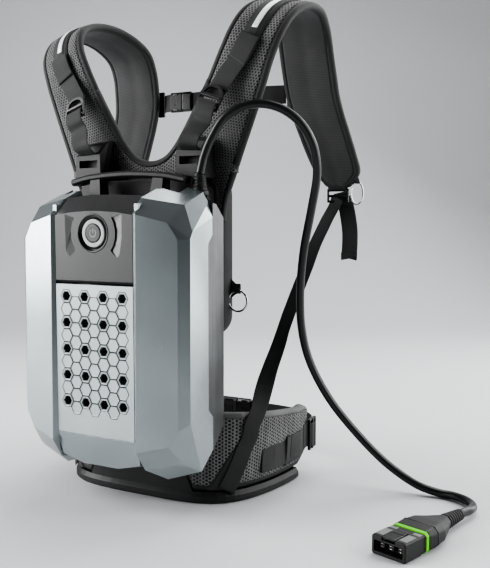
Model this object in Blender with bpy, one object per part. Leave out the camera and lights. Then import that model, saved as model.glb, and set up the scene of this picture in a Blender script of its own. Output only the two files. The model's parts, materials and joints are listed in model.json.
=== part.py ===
"""Backpack battery power pack: faceted case, padded harness and tool cord.

Metres, +Z up. +X is the wearer's right and +Y points to the wearer's front.
The origin is the middle of the waist opening, at the hip belt's lower edge.
"""

import math

import bmesh
import bpy
from mathutils import Matrix, Vector

# Driving dimensions
GAP = 0.0003
CASE_FRONT = -0.243
CASE_SPLIT = -0.163
CASE_REAR = -0.1327
INSERT_HALF = 0.0652
INSERT_DEPTH = 0.003
GRILLE_BOTTOM = 0.1095
GRILLE_TOP = 0.3165
SHELL_WALL = 0.0035
DECK_TOP = 0.425

HEX_SIDE = 0.0105
HEX_TOP_ROW = 0.300
HEX_ROWS = 5
HEX_COLUMNS = 4
HOLE_SIDE = 0.0070

BUTTON_HEIGHT = 0.386
BUTTON_RADIUS = 0.0124
LIGHT_OUTER = 0.0192
LIGHT_INNER = 0.0129
BEZEL_OUTER = 0.0259
BEZEL_INNER = 0.0196

CELL_PITCH = 0.022
CELLS_PER_SIDE = 7
CELL_LENGTH = 0.070
CELL_BOTTOM = 0.098

STRAP_PLANE = -0.103
STRAP_THICKNESS = 0.012
BAND_GAP = 0.0008
WEBBING = 0.030
WEBBING_THICKNESS = 0.0016
BELT_THICKNESS = 0.020
BELT_LEAN = 0.012
# Share of the belt's half length between two sections
BELT_STEP = 1 / 30
HIP_WEBBING_OUT = 0.0090
HIP_BUCKLE = (-0.0200, 0.0390)
HIP_BUCKLE_HEIGHT = 0.066
SIDE_RING = 0.0150
SIDE_HINGE = Vector((0.1375, -0.0895, 0.3030))
TIP_RING_WIDTH = 0.0095
TIP_RING_HEIGHT = 0.0180
TIP_HINGE = Vector((0.2426, 0.1120, 0.4649))
LOWER_WEBBING = 0.025
HIP_WEBBING = 0.038
RING_WIRE = 0.0015

CORD_RADIUS = 0.006
GLAND_BASE = Vector((0.112, -0.1505, 0.4373))
GLAND_TILT = 0.27
PLUG_FRONT = Vector((0.398, -0.194, 0.0))
PLUG_BACKWARDS = Vector((0.30, 0.954, 0.0)).normalized()
PLUG_WIDTH = 0.049
PLUG_HEIGHT = 0.0245

# Colour, roughness and metallic value of each kind of material
PALE_SHELL = ((0.62, 0.66, 0.68), 0.32, 0.25)
PANEL_GREY = ((0.21, 0.21, 0.21), 0.45, 0.0)
BRUSHED = ((0.42, 0.42, 0.42), 0.38, 1.0)
BLACK_PLASTIC = ((0.028, 0.028, 0.029), 0.45, 0.0)
LIGHT_GUIDE = ((0.80, 0.82, 0.82), 0.25, 0.0)
CELL_WRAP = ((0.05, 0.17, 0.35), 0.5, 0.0)
NICKEL = ((0.60, 0.58, 0.54), 0.35, 1.0)
BOARD_GREEN = ((0.02, 0.16, 0.06), 0.5, 0.0)
MESH_FABRIC = ((0.30, 0.30, 0.30), 0.85, 0.0)
LINING = ((0.10, 0.10, 0.10), 0.8, 0.0)
WEB_GREY = ((0.085, 0.085, 0.085), 0.8, 0.0)
STEEL = ((0.62, 0.62, 0.62), 0.22, 1.0)
CORD_RUBBER = ((0.035, 0.036, 0.037), 0.4, 0.0)
GREEN = ((0.09, 0.48, 0.01), 0.4, 0.0)


def start_clean():
    for old in list(bpy.data.objects):
        bpy.data.objects.remove(old, do_unlink=True)


def make_material(name, look):
    colour, roughness, metallic = look
    material = bpy.data.materials.new(name)
    material.use_nodes = True
    shader = material.node_tree.nodes["Principled BSDF"]
    shader.inputs["Base Color"].default_value = (*colour, 1.0)
    shader.inputs["Roughness"].default_value = roughness
    shader.inputs["Metallic"].default_value = metallic
    return material


def make_object(name, shape, look):
    """Turn a bmesh into a named object with outward faces and smooth round sides."""
    bmesh.ops.recalc_face_normals(shape, faces=shape.faces)
    mesh = bpy.data.meshes.new(name)
    shape.to_mesh(mesh)
    shape.free()
    mesh.shade_smooth()
    mesh.set_sharp_from_angle(angle=math.radians(35))
    piece = bpy.data.objects.new(name, mesh)
    piece.data.materials.append(make_material(name, look))
    bpy.context.scene.collection.objects.link(piece)
    return piece


def hang_on(piece, joint_point):
    """Put a moving piece's origin on its joint's axis, with its shape left in place."""
    point = Vector(joint_point)
    piece.data.transform(Matrix.Translation(-point))
    piece.location = point


# Shapes

def hull(points):
    shape = bmesh.new()
    corners = [shape.verts.new(point) for point in points]
    found = bmesh.ops.convex_hull(shape, input=corners)
    loose = {v for v in found["geom_unused"] + found["geom_interior"]
             if isinstance(v, bmesh.types.BMVert)}
    bmesh.ops.delete(shape, geom=list(loose), context="VERTS")
    return shape


def box(low, high):
    return hull([(x, y, z) for x in (low[0], high[0])
                 for y in (low[1], high[1]) for z in (low[2], high[2])])


def loft(rows):
    """Skin a list of closed loops that have the same number of points."""
    shape = bmesh.new()
    loops = [[shape.verts.new(point) for point in row] for row in rows]
    count = len(loops[0])
    for lower, upper in zip(loops[:-1], loops[1:]):
        for i in range(count):
            j = (i + 1) % count
            shape.faces.new((lower[i], lower[j], upper[j], upper[i]))
    shape.faces.new(loops[0])
    shape.faces.new(list(reversed(loops[-1])))
    return shape


def ring(rows):
    """Skin closed loops into a ring that joins its last loop to its first."""
    shape = bmesh.new()
    loops = [[shape.verts.new(point) for point in row] for row in rows]
    count = len(loops[0])
    for k, lower in enumerate(loops):
        upper = loops[(k + 1) % len(loops)]
        for i in range(count):
            j = (i + 1) % count
            shape.faces.new((lower[i], lower[j], upper[j], upper[i]))
    return shape


def revolve(profile, centre, sides=32):
    """Turn a closed (radius, y) profile about an axis along Y through the centre."""
    rows = []
    for k in range(sides):
        angle = 2 * math.pi * k / sides
        rows.append([(centre[0] + radius * math.cos(angle), centre[1] + depth,
                      centre[2] + radius * math.sin(angle)) for radius, depth in profile])
    return ring(rows)


def disc(radius, near, far, centre, sides=32, rim=0.0008):
    """A cylinder along Y with a small chamfer on its near face."""
    steps = ((radius - rim, near), (radius, near + rim), (radius, far))
    rows = [[(centre[0] + r * math.cos(2 * math.pi * k / sides), y,
              centre[2] + r * math.sin(2 * math.pi * k / sides)) for k in range(sides)]
            for r, y in steps]
    return loft(rows)


def smooth(points, count):
    """Points at even spacing on a smooth curve through the given points."""
    anchors = [Vector(point) for point in points]
    anchors = [2 * anchors[0] - anchors[1]] + anchors + [2 * anchors[-1] - anchors[-2]]
    fine = []
    for a, b, c, d in zip(anchors, anchors[1:], anchors[2:], anchors[3:]):
        for step in range(12):
            t = step / 12
            fine.append(0.5 * (2 * b + (c - a) * t + (2 * a - 5 * b + 4 * c - d) * t ** 2
                               + (3 * b - a - 3 * c + d) * t ** 3))
    fine.append(anchors[-2])
    lengths = [0.0]
    for a, b in zip(fine, fine[1:]):
        lengths.append(lengths[-1] + (b - a).length)
    even, k = [], 0
    for step in range(count):
        target = lengths[-1] * step / (count - 1)
        while k < len(fine) - 2 and lengths[k + 1] < target:
            k += 1
        part = (target - lengths[k]) / max(lengths[k + 1] - lengths[k], 1e-9)
        even.append(fine[k].lerp(fine[k + 1], min(part, 1.0)))
    return even


def direction(points, i):
    after = points[min(i + 1, len(points) - 1)]
    before = points[max(i - 1, 0)]
    return (after - before).normalized()


def ribbon(route, across, count, width=WEBBING, thickness=WEBBING_THICKNESS):
    """Flat webbing along a route; across is one direction, or several along the route."""
    points = smooth(route, count)
    turns = across if isinstance(across, list) else [across, across]
    rows = []
    for i, point in enumerate(points):
        along = direction(points, i)
        place = i / (count - 1) * (len(turns) - 1)
        first = min(int(place), len(turns) - 2)
        side = Vector(turns[first]).lerp(Vector(turns[first + 1]), place - first)
        side = (side - along * side.dot(along)).normalized() * width / 2
        up = along.cross(side).normalized() * thickness / 2
        rows.append([point - side - up, point + side - up, point + side + up, point - side + up])
    return loft(rows)


def slab(outline, near, far):
    """Extrude an (x, z) outline along Y."""
    return loft([[(x, near, z) for x, z in outline], [(x, far, z) for x, z in outline]])


def rounded(half_width, low, high, radius, steps=4):
    """An (x, z) rectangle with round corners, centred on x = 0."""
    outline = []
    corners = ((1, high, 0), (-1, high, 90), (-1, low, 180), (1, low, 270))
    for sign, level, start in corners:
        cx = sign * (half_width - radius)
        cz = level - radius if level == high else level + radius
        for k in range(steps + 1):
            angle = math.radians(start + 90 * k / steps)
            outline.append((cx + radius * math.cos(angle), cz + radius * math.sin(angle)))
    return outline


def mirror_x(points, side):
    return [(side * p[0], *p[1:]) for p in points]


def combine(piece, shape, operation):
    """Cut a shape from a piece, or join it to the piece, and keep one solid."""
    bmesh.ops.recalc_face_normals(shape, faces=shape.faces)
    mesh = bpy.data.meshes.new("tool")
    shape.to_mesh(mesh)
    shape.free()
    tool = bpy.data.objects.new("tool", mesh)
    bpy.context.scene.collection.objects.link(tool)
    boolean = piece.modifiers.new("combine", "BOOLEAN")
    boolean.operation = operation
    boolean.solver = "EXACT"
    boolean.object = tool
    bpy.context.view_layer.update()
    evaluated = piece.evaluated_get(bpy.context.evaluated_depsgraph_get())
    result = bpy.data.meshes.new_from_object(evaluated)
    piece.modifiers.remove(boolean)
    old = piece.data
    piece.data = result
    bpy.data.meshes.remove(old)
    bpy.data.objects.remove(tool, do_unlink=True)
    piece.data.name = piece.name


def cut(piece, shape):
    combine(piece, shape, "DIFFERENCE")


def join(piece, shape):
    combine(piece, shape, "UNION")


# Case

PILLAR_CORNERS = [
    # front face
    (0.0712, -0.2455, 0.4108), (0.1145, -0.2366, 0.4002), (0.1287, -0.2335, 0.3788),
    (0.1292, -0.2355, 0.1302), (0.1145, -0.2386, 0.1079), (0.0710, -0.2485, 0.0968),
    # inner wall
    (0.0655, -0.2425, 0.4120), (0.0655, -0.2425, 0.1040), (0.0655, -0.2240, 0.4330),
    (0.0655, -0.1630, 0.4450), (0.0655, -0.1630, 0.0550),
    # side face
    (0.1410, -0.2225, 0.3788), (0.1405, -0.2158, 0.3884), (0.1390, -0.1630, 0.4077),
    (0.1410, -0.2240, 0.1379), (0.1405, -0.2179, 0.1235), (0.1390, -0.1630, 0.0900),
    # top face, which rises to the rear
    (0.0716, -0.2246, 0.4320), (0.1236, -0.2085, 0.4235), (0.0670, -0.1910, 0.4455),
    (0.1000, -0.1630, 0.4485), (0.1240, -0.1630, 0.4415), (0.1325, -0.1630, 0.4275),
    # bottom face, which falls to the rear
    (0.0723, -0.2292, 0.0689), (0.1222, -0.2150, 0.0798), (0.1201, -0.2250, 0.0923),
    (0.1380, -0.1920, 0.0666),
    (0.0880, -0.1980, 0.0500), (0.1230, -0.1630, 0.0580), (0.0880, -0.1630, 0.0525),
]

CHIN_CORNERS = [
    (0.0700, -0.2430, 0.1090), (0.0700, -0.1630, 0.1090), (0.0660, -0.2320, 0.0745),
    (0.0500, -0.2330, 0.0695), (0.0300, -0.2335, 0.0660), (0.0100, -0.2335, 0.0645),
    (0.0700, -0.1630, 0.0580),
]

# Rear part of the side face, where the rear case's flange reaches forward
FLANGE_LOW = (0.1335, 0.1475)
FLANGE_HIGH = (0.3715, 0.3855)
FLANGE_FRONT = -0.1750
FLANGE_REAR = -0.1610


def both_sides(points):
    return mirror_x(points, 1) + mirror_x(points, -1)


def flange(side, inner, outer, margin, behind):
    """The side flange's outline, widened by a margin and carried on behind its rear edge."""
    low, high = FLANGE_LOW, FLANGE_HIGH
    outline = [(FLANGE_FRONT - margin, high[0] + margin / 2),
               (FLANGE_REAR + behind, high[1] + behind + margin / 2),
               (FLANGE_REAR + behind, low[0] - behind - margin / 2),
               (FLANGE_FRONT - margin, low[1] - margin / 2)]
    return loft([[(side * x, y, z) for y, z in outline] for x in (inner, outer)])


def front_shell():
    core = box((-0.072, -0.2392, 0.108), (0.072, CASE_SPLIT, DECK_TOP))
    shell = make_object("front_shell", core, PALE_SHELL)
    for side in (1, -1):
        join(shell, hull(mirror_x(PILLAR_CORNERS, side)))
    join(shell, hull(both_sides(CHIN_CORNERS)))
    # The control panel's seat, open above the grille
    cut(shell, box((-INSERT_HALF - GAP, -0.26, GRILLE_TOP), (INSERT_HALF + GAP, -0.1895, 0.46)))
    # Hollow inside, open to the rear
    middle = Vector((0.0, -0.190, 0.250))
    scale = (0.972, 0.935, 0.981)
    inside = [Vector((middle[k] + (p[k] - middle[k]) * scale[k] for k in range(3)))
              for p in both_sides(PILLAR_CORNERS)]
    inside += [Vector((p[0], -0.150, p[2])) for p in inside if p[1] > -0.170]
    hollow = hull(inside)
    walls = (((0, -0.2362, 0), (0, -1, 0)), ((0, 0, DECK_TOP - SHELL_WALL), (0, 0, 1)),
             ((0, 0, 0.080), (0, 0, -1)), ((0, -0.2395, 0.110), (0, -0.953, -0.304)))
    for point, outward in walls:
        geometry = hollow.verts[:] + hollow.edges[:] + hollow.faces[:]
        bmesh.ops.bisect_plane(hollow, geom=geometry, plane_co=point, plane_no=outward,
                               clear_outer=True)
        bmesh.ops.holes_fill(hollow, edges=hollow.edges)
    cut(shell, hollow)
    # Window behind the grille
    cut(shell, box((-0.060, -0.26, GRILLE_BOTTOM + 0.006), (0.060, -0.23, GRILLE_TOP - 0.006)))
    # Notches for the rear case's side flanges
    for side in (1, -1):
        cut(shell, flange(side, 0.1300, 0.1500, GAP, 0.011))
    # Well for the carry handle's feet and the fingers
    cut(shell, box((-0.100, -0.184, DECK_TOP), (0.100, -0.150, 0.470)))
    return shell


def hexagon(x, z, radius):
    return [(x + radius * math.cos(math.radians(60 * k)),
             z + radius * math.sin(math.radians(60 * k))) for k in range(6)]


def grille_panel():
    outline = [(-INSERT_HALF, GRILLE_BOTTOM), (INSERT_HALF, GRILLE_BOTTOM),
               (INSERT_HALF, GRILLE_TOP - GAP), (-INSERT_HALF, GRILLE_TOP - GAP)]
    panel = make_object("grille_panel", slab(outline, CASE_FRONT, CASE_FRONT + INSERT_DEPTH),
                        PALE_SHELL)
    for row in range(HEX_ROWS):
        for column in range(HEX_COLUMNS):
            x = (column - (HEX_COLUMNS - 1) / 2) * 3 * HEX_SIDE
            z = HEX_TOP_ROW - row * 2 * math.sqrt(3) * HEX_SIDE
            cut(panel, slab(hexagon(x, z, HOLE_SIDE), CASE_FRONT - 0.002, CASE_FRONT + 0.006))


def bracket_groove(side):
    """A pocket whose inner wall is concentric with the button and whose floor slopes out."""
    arc = [math.radians(a) for a in (-38, -24, -10, 6, 22, 34)]
    inner = [(side * 0.0375 * math.cos(a), BUTTON_HEIGHT + 0.0375 * math.sin(a)) for a in arc]
    outer = [(side * x, BUTTON_HEIGHT + z) for x, z in
             ((0.0500, 0.026), (0.0535, 0.014), (0.0540, 0.002),
              (0.0535, -0.012), (0.0500, -0.024), (0.0420, -0.034))]
    front = [(x, CASE_FRONT - 0.003, z) for x, z in inner + outer]
    floor = [(x, CASE_FRONT + 0.0022, z) for x, z in inner]
    floor += [(x, CASE_FRONT - 0.0004, z) for x, z in outer]
    return loft([front, floor])


def control_panel():
    top, bottom = 0.411, GRILLE_TOP + 0.0053
    half = INSERT_HALF
    outer = [(half, CASE_FRONT, bottom), (half, CASE_FRONT, top - 0.001),
             (half * 0.6, CASE_FRONT, top + 0.0028), (0.012, CASE_FRONT, top + 0.0045),
             (half, -0.2385, GRILLE_TOP + GAP), (half, -0.1900, GRILLE_TOP + GAP),
             (half, -0.2160, 0.4345), (half * 0.6, -0.2160, 0.4372), (0.012, -0.2160, 0.4382),
             (half, -0.1900, 0.4345), (half * 0.6, -0.1900, 0.4372), (0.012, -0.1900, 0.4382)]
    panel = make_object("control_panel", hull(both_sides(outer)), PANEL_GREY)
    inner = [(half - 0.003, CASE_FRONT + 0.003, GRILLE_TOP - 0.01),
             (half - 0.003, CASE_FRONT + 0.003, top - 0.003),
             (half - 0.003, -0.2165, 0.4310), (half - 0.003, -0.1800, 0.4310),
             (half - 0.003, -0.1800, GRILLE_TOP - 0.01)]
    cut(panel, hull(both_sides(inner)))
    # Room for the cells behind the front wall
    cut(panel, box((-0.080, -0.2185, 0.300), (0.080, -0.170, 0.412)))
    centre = (0.0, 0.0, BUTTON_HEIGHT)
    cut(panel, disc(BEZEL_OUTER + GAP, -0.250, -0.235, centre, rim=0.0))
    for side in (1, -1):
        cut(panel, bracket_groove(side))


def power_switch():
    centre = (0.0, CASE_FRONT, BUTTON_HEIGHT)
    bezel = [(BEZEL_OUTER, -0.0006), (BEZEL_OUTER, 0.0100), (BEZEL_INNER, 0.0100),
             (BEZEL_INNER, 0.0034), (BEZEL_OUTER - 0.0016, -0.0006)]
    make_object("button_bezel", revolve(bezel, centre), BLACK_PLASTIC)
    guide = [(LIGHT_OUTER, 0.0016), (LIGHT_OUTER, 0.0090), (LIGHT_INNER, 0.0090),
             (LIGHT_INNER, 0.0016), (LIGHT_INNER + 0.0010, 0.0008), (LIGHT_OUTER - 0.0010, 0.0008)]
    make_object("button_light_ring", revolve(guide, centre), LIGHT_GUIDE)
    button = make_object("power_button", disc(BUTTON_RADIUS, CASE_FRONT + 0.0006,
                                              CASE_FRONT + 0.0110, centre), PANEL_GREY)
    hang_on(button, centre)


def rear_case():
    front = CASE_SPLIT + GAP
    corners = []
    for half, low_front, low_rear, high_rear, high_front in (
            (0.139, 0.088, 0.118, 0.407, 0.4265), (0.120, 0.062, 0.100, 0.420, 0.4350)):
        corners += [(half, front, low_front), (half, CASE_REAR, low_rear),
                    (half, CASE_REAR, high_rear), (half, -0.153, high_front - 0.001),
                    (half, front, high_front)]
    case = make_object("rear_case", hull(both_sides(corners)), BRUSHED)
    inner = [(0.1355, -0.18, 0.095), (0.1355, -0.1360, 0.122), (0.1355, -0.1360, 0.404),
             (0.1355, -0.1535, 0.4195), (0.1355, -0.18, 0.4195), (0.118, -0.18, 0.068),
             (0.118, -0.1360, 0.105), (0.118, -0.1360, 0.416), (0.118, -0.18, 0.4310)]
    cut(case, hull(both_sides(inner)))
    for side in (1, -1):
        join(case, flange(side, 0.1310, 0.1390, 0.0, 0.001))
        relief = [(-0.1755, 0.3500), (-0.152, 0.3500), (-0.152, 0.1800), (-0.1755, 0.1800)]
        rows = [[(side * x, y, z) for y, z in relief] for x in (0.1290, 0.1355)]
        cut(case, loft(rows))
    return case


def cell_outline(bottom):
    """Outline of a square block of round cells, seen along the cells."""
    radius = CELL_PITCH / 2
    start = -(CELLS_PER_SIDE - 1) / 2
    low = bottom + radius
    outline = []
    edges = ((0, (1, 0), (0, 0)), (90, (0, 1), (CELLS_PER_SIDE - 1, 0)),
             (180, (-1, 0), (CELLS_PER_SIDE - 1,) * 2), (270, (0, -1), (0, CELLS_PER_SIDE - 1)))
    for turn, step, first in edges:
        for cell in range(CELLS_PER_SIDE):
            column = first[0] + step[0] * cell
            row = first[1] + step[1] * cell
            cx = (start + column) * CELL_PITCH
            cz = low + row * CELL_PITCH
            for angle in (225, 270, 315):
                a = math.radians(angle + turn)
                outline.append((cx + radius * math.cos(a), cz + radius * math.sin(a)))
    return outline


def battery():
    height = CELLS_PER_SIDE * CELL_PITCH
    rear = -0.146
    make_object("cell_block_lower", slab(cell_outline(CELL_BOTTOM), rear - CELL_LENGTH, rear),
                CELL_WRAP)
    upper = CELL_BOTTOM + height + 0.002
    make_object("cell_block_upper", slab(cell_outline(upper), rear - CELL_LENGTH, rear),
                CELL_WRAP)
    sheet = rounded(0.074, CELL_BOTTOM + 0.004, upper + height - 0.004, 0.006)
    make_object("busbar_sheet", slab(sheet, rear - CELL_LENGTH - 0.0015,
                                     rear - CELL_LENGTH - GAP), NICKEL)
    make_object("control_board", box((0.092, -0.214, 0.110), (0.0936, -0.150, 0.360)),
                BOARD_GREEN)


def carry_handle():
    points = smooth([(-0.098, -0.158, 0.4585), (-0.060, -0.158, 0.4655),
                     (0.0, -0.158, 0.4685), (0.060, -0.158, 0.4655),
                     (0.098, -0.158, 0.4585)], 17)
    rows = []
    for i, point in enumerate(points):
        up = direction(points, i).cross(Vector((0, -1, 0)))
        up *= 1 if up.z > 0 else -1
        section = ((-0.012, 0.002), (-0.009, 0.005), (0.009, 0.005), (0.012, 0.002),
                   (0.012, -0.002), (0.009, -0.005), (-0.009, -0.005), (-0.012, -0.002))
        rows.append([point + Vector((0, across, 0)) + up * height for across, height in section])
    bar = make_object("carry_handle", loft(rows), BLACK_PLASTIC)
    for side in (1, -1):
        low = DECK_TOP + GAP
        foot = [(x, y, z) for x in (0.041, 0.0635) for y, z in
                ((-0.174, low), (CASE_SPLIT - 0.0005, low), (-0.173, 0.440),
                 (CASE_SPLIT - 0.0005, 0.440))]
        join(bar, hull(mirror_x(foot, side)))
        neck = [(x, y, 0.4365) for x in (0.042, 0.0635) for y in (-0.1725, -0.152)]
        neck += [(x, y, 0.4640) for x in (0.046, 0.0635) for y in (-0.168, -0.150)]
        join(bar, hull(mirror_x(neck, side)))


def cable_gland():
    # Radius, height and sideways tilt of each step
    steps = ((0.0120, 0.0, 0.0), (0.0120, 0.006, 0.0), (0.0105, 0.008, 0.0),
             (0.0095, 0.018, 0.0), (0.0080, 0.030, GLAND_TILT))
    rows = []
    for radius, height, tilt in steps:
        centre = GLAND_BASE + Vector((0.0, 0.0, height))
        rows.append([centre + Vector((radius * math.cos(math.radians(22.5 * k)),
                                      radius * math.sin(math.radians(22.5 * k)),
                                      -radius * math.cos(math.radians(22.5 * k)) * tilt))
                     for k in range(16)])
    make_object("cable_gland", loft(rows), BLACK_PLASTIC)


# Harness plate and brackets

def harness_frame():
    near, far = CASE_REAR + GAP, -0.1115
    frame = make_object("harness_frame", slab(rounded(0.112, 0.097, 0.462, 0.02), near, far),
                        BLACK_PLASTIC)
    for low, high in ((0.130, 0.210), (0.232, 0.312), (0.334, 0.414)):
        cut(frame, slab(rounded(0.085, low, high, 0.012), -0.150, -0.118))


def lifter_bracket(side, name):
    corners = [(0.066, -0.141, 0.4625), (0.114, -0.141, 0.4625), (0.067, -0.141, 0.5015),
               (0.111, -0.141, 0.4990), (0.066, -0.1125, 0.4625), (0.114, -0.1125, 0.4625),
               (0.064, -0.1125, 0.5240), (0.111, -0.1125, 0.5200), (0.064, -0.1240, 0.5200),
               (0.111, -0.1240, 0.5160)]
    bracket = make_object("lifter_bracket_" + name, hull(mirror_x(corners, side)), BLACK_PLASTIC)
    window = hull(mirror_x([(x, y, z) for x in (0.0725, 0.1055) for y, z in
                            ((-0.150, 0.481), (-0.128, 0.483), (-0.150, 0.4925), (-0.128, 0.4925))],
                           side))
    cut(bracket, window)
    slot = hull(mirror_x([(x, y, z) for x in (0.0725, 0.1055) for y, z in
                          ((-0.1365, 0.484), (-0.128, 0.484), (-0.1385, 0.540), (-0.126, 0.540))],
                         side))
    cut(bracket, slot)


# Pads and straps

def back_pad():
    rows = []
    for depth, inset in ((-0.1108, 0.004), (-0.107, 0.0), (-0.072, 0.0), (-0.066, 0.006)):
        outline = rounded(0.118 - inset, 0.237 + inset, 0.4695, 0.030 - inset, 3)
        rows.append([(x, depth, z) for x, z in outline])
    make_object("back_pad", loft(rows), LINING)


# Inner and outer edge of a shoulder strap, from the yoke over the shoulder to its tip
STRAP_EDGES = [
    ((0.030, STRAP_PLANE, 0.5005), (0.147, STRAP_PLANE, 0.4785)),
    ((0.047, STRAP_PLANE, 0.520), (0.155, STRAP_PLANE, 0.500)),
    ((0.072, STRAP_PLANE, 0.560), (0.170, STRAP_PLANE, 0.538)),
    ((0.095, STRAP_PLANE, 0.600), (0.186, STRAP_PLANE, 0.580)),
    ((0.115, STRAP_PLANE, 0.640), (0.200, STRAP_PLANE, 0.620)),
    ((0.130, -0.099, 0.672), (0.212, -0.096, 0.654)),
    ((0.140, -0.082, 0.698), (0.219, -0.075, 0.682)),
    ((0.146, -0.053, 0.714), (0.223, -0.045, 0.700)),
    ((0.146, -0.018, 0.722), (0.224, -0.010, 0.709)),
    ((0.139, 0.018, 0.720), (0.222, 0.024, 0.709)),
    ((0.129, 0.050, 0.708), (0.217, 0.053, 0.699)),
    ((0.122, 0.073, 0.690), (0.213, 0.074, 0.683)),
    ((0.120, 0.086, 0.663), (0.212, 0.086, 0.659)),
    ((0.121, 0.094, 0.635), (0.214, 0.093, 0.631)),
    ((0.124, 0.100, 0.605), (0.217, 0.098, 0.601)),
    ((0.132, 0.104, 0.575), (0.224, 0.101, 0.571)),
    ((0.143, 0.107, 0.545), (0.233, 0.104, 0.541)),
    ((0.156, 0.110, 0.512), (0.243, 0.106, 0.508)),
    ((0.170, 0.112, 0.483), (0.249, 0.108, 0.480)),
    ((0.186, 0.113, 0.463), (0.236, 0.110, 0.461)),
]
ARCH_MIDDLE = Vector((0.170, -0.005, 0.560))


def strap_frames():
    """Centre, across and outward vectors of each strap station, on the +X side."""
    edges = [(Vector(a), Vector(b)) for a, b in STRAP_EDGES]
    centres = [(a + b) / 2 for a, b in edges]
    frames = []
    for i, (a, b) in enumerate(edges):
        along = direction(centres, i)
        across = (b - a) / 2
        outward = along.cross(across).normalized()
        if outward.dot(centres[i] - ARCH_MIDDLE) < 0:
            outward = -outward
        frames.append((centres[i], across, outward))
    return frames


def flip(point, side):
    return Vector((side * point.x, point.y, point.z))


def shoulder_strap(side, name):
    half = STRAP_THICKNESS / 2
    section = ((-1.0, 0.0), (-0.93, 1.0), (0.93, 1.0), (1.0, 0.0), (0.93, -1.0), (-0.93, -1.0))
    rows = [[flip(centre + across * s + outward * half * t, side) for s, t in section]
            for centre, across, outward in strap_frames()]
    strap = make_object("shoulder_strap_" + name, loft(rows), MESH_FABRIC)
    # Sewn loop at the tip that holds the ring
    along = flip(Vector((0.88, 0.47, 0.0)), side)
    thick = flip(Vector((0.47, -0.88, 0.0)), side)
    hinge = flip(TIP_HINGE, side)
    tab = []
    for step in (-0.0025, 0.0025):
        for depth, height in ((-0.0042, -0.0019), (-0.0020, -0.0043), (0.0020, -0.0043),
                              (0.0042, -0.0019), (0.0034, 0.0110), (-0.0034, 0.0110)):
            tab.append(hinge + along * step + thick * depth + Vector((0, 0, height)))
    join(strap, hull(tab))
    cut(strap, eye(hinge, along, radius=0.0027))


def strap_band(side, name):
    low = STRAP_THICKNESS / 2 + BAND_GAP
    rows = []
    for centre, across, outward in strap_frames()[4:19]:
        arm = across.normalized() * WEBBING / 2
        rows.append([flip(centre + arm * s + outward * (low + t), side) for s, t in
                     ((-1, 0.0), (1, 0.0), (1, WEBBING_THICKNESS), (-1, WEBBING_THICKNESS))])
    make_object("strap_band_" + name, loft(rows), WEB_GREY)


def harness_yoke():
    half = [(0.0, 0.4915), (0.014, 0.4935), (0.0285, 0.5005), (0.1462, 0.4782), (0.1405, 0.4708)]
    outline = half + [(-x, z) for x, z in reversed(half[1:])]
    depth = STRAP_THICKNESS / 2
    make_object("harness_yoke", slab(outline, STRAP_PLANE - depth, STRAP_PLANE + depth),
                MESH_FABRIC)


# Webbing and its hardware

def ladder_lock(name, centre, up, face, looks=BLACK_PLASTIC, arch=True):
    """A flat frame with two slots, and an arched loop on top; face is its normal."""
    up = Vector(up).normalized()
    face = Vector(face)
    face = (face - up * face.dot(up)).normalized()
    across = up.cross(face)
    half = WEBBING / 2 + 0.003
    outline = [(half, -0.012), (half, 0.010)]
    if arch:
        outline += [(half * math.cos(math.radians(a)), 0.010 + 0.015 * math.sin(math.radians(a)))
                    for a in (25, 50, 75, 105, 130, 155)]
    outline += [(-half, 0.010), (-half, -0.012)]

    def place(points, depth):
        return [Vector(centre) + across * u + up * v + face * depth for u, v in points]

    lock = make_object(name, loft([place(outline, -0.002), place(outline, 0.002)]), looks)
    inner = WEBBING / 2 + 0.0006
    slots = [[(inner, -0.0085), (inner, -0.0035), (-inner, -0.0035), (-inner, -0.0085)],
             [(inner, 0.0005), (inner, 0.0055), (-inner, 0.0055), (-inner, 0.0005)]]
    if arch:
        slots.append([((inner - 0.002) * math.cos(math.radians(a)),
                       0.0095 + 0.0115 * math.sin(math.radians(a)))
                      for a in (5, 40, 70, 110, 140, 175)])
    for slot in slots:
        cut(lock, loft([place(slot, -0.01), place(slot, 0.01)]))


def lifter(side, name):
    sewn = [(0.1610, -0.1126, 0.638), (0.1520, -0.1145, 0.624), (0.1390, -0.1190, 0.607),
            (0.1255, -0.1248, 0.5905)]
    across = [(0.90, 0.0, -0.20), (0.90, 0.0, -0.20)]
    make_object("lifter_webbing_" + name,
                ribbon(mirror_x(sewn, side), mirror_x(across, side), 12), WEB_GREY)
    up = Vector((0.30 * side, 0.36, 0.90))
    ladder_lock("lifter_slider_" + name, (0.117 * side, -0.1345, 0.5665), up, (0.0, -1.0, 0.0))
    loop = [(0.1126, -0.1398, 0.5532), (0.108, -0.1430, 0.543), (0.100, -0.1490, 0.526),
            (0.0925, -0.1500, 0.512), (0.0895, -0.1450, 0.5045)]
    across = [(0.949, 0.0, -0.316), (1.0, 0.0, -0.05)]
    make_object("lifter_loop_" + name,
                ribbon(mirror_x(loop, side), mirror_x(across, side), 12), WEB_GREY)


def wire_ring(name, centre, normal, half_width, half_height, look=STEEL, sides=24):
    """An upright oval wire ring; the wire's section has six sides."""
    normal = Vector(normal).normalized()
    level = Vector((0, 0, 1)).cross(normal)
    rows = []
    for k in range(sides):
        angle = 2 * math.pi * k / sides
        point = level * half_width * math.cos(angle) + Vector((0, 0, half_height * math.sin(angle)))
        outward = level * half_height * math.cos(angle)
        outward = (outward + Vector((0, 0, half_width * math.sin(angle)))).normalized()
        rows.append([Vector(centre) + point + outward * RING_WIRE * math.cos(math.radians(60 * j))
                     + normal * RING_WIRE * math.sin(math.radians(60 * j)) for j in range(6)])
    return make_object(name, ring(rows), look)


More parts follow.
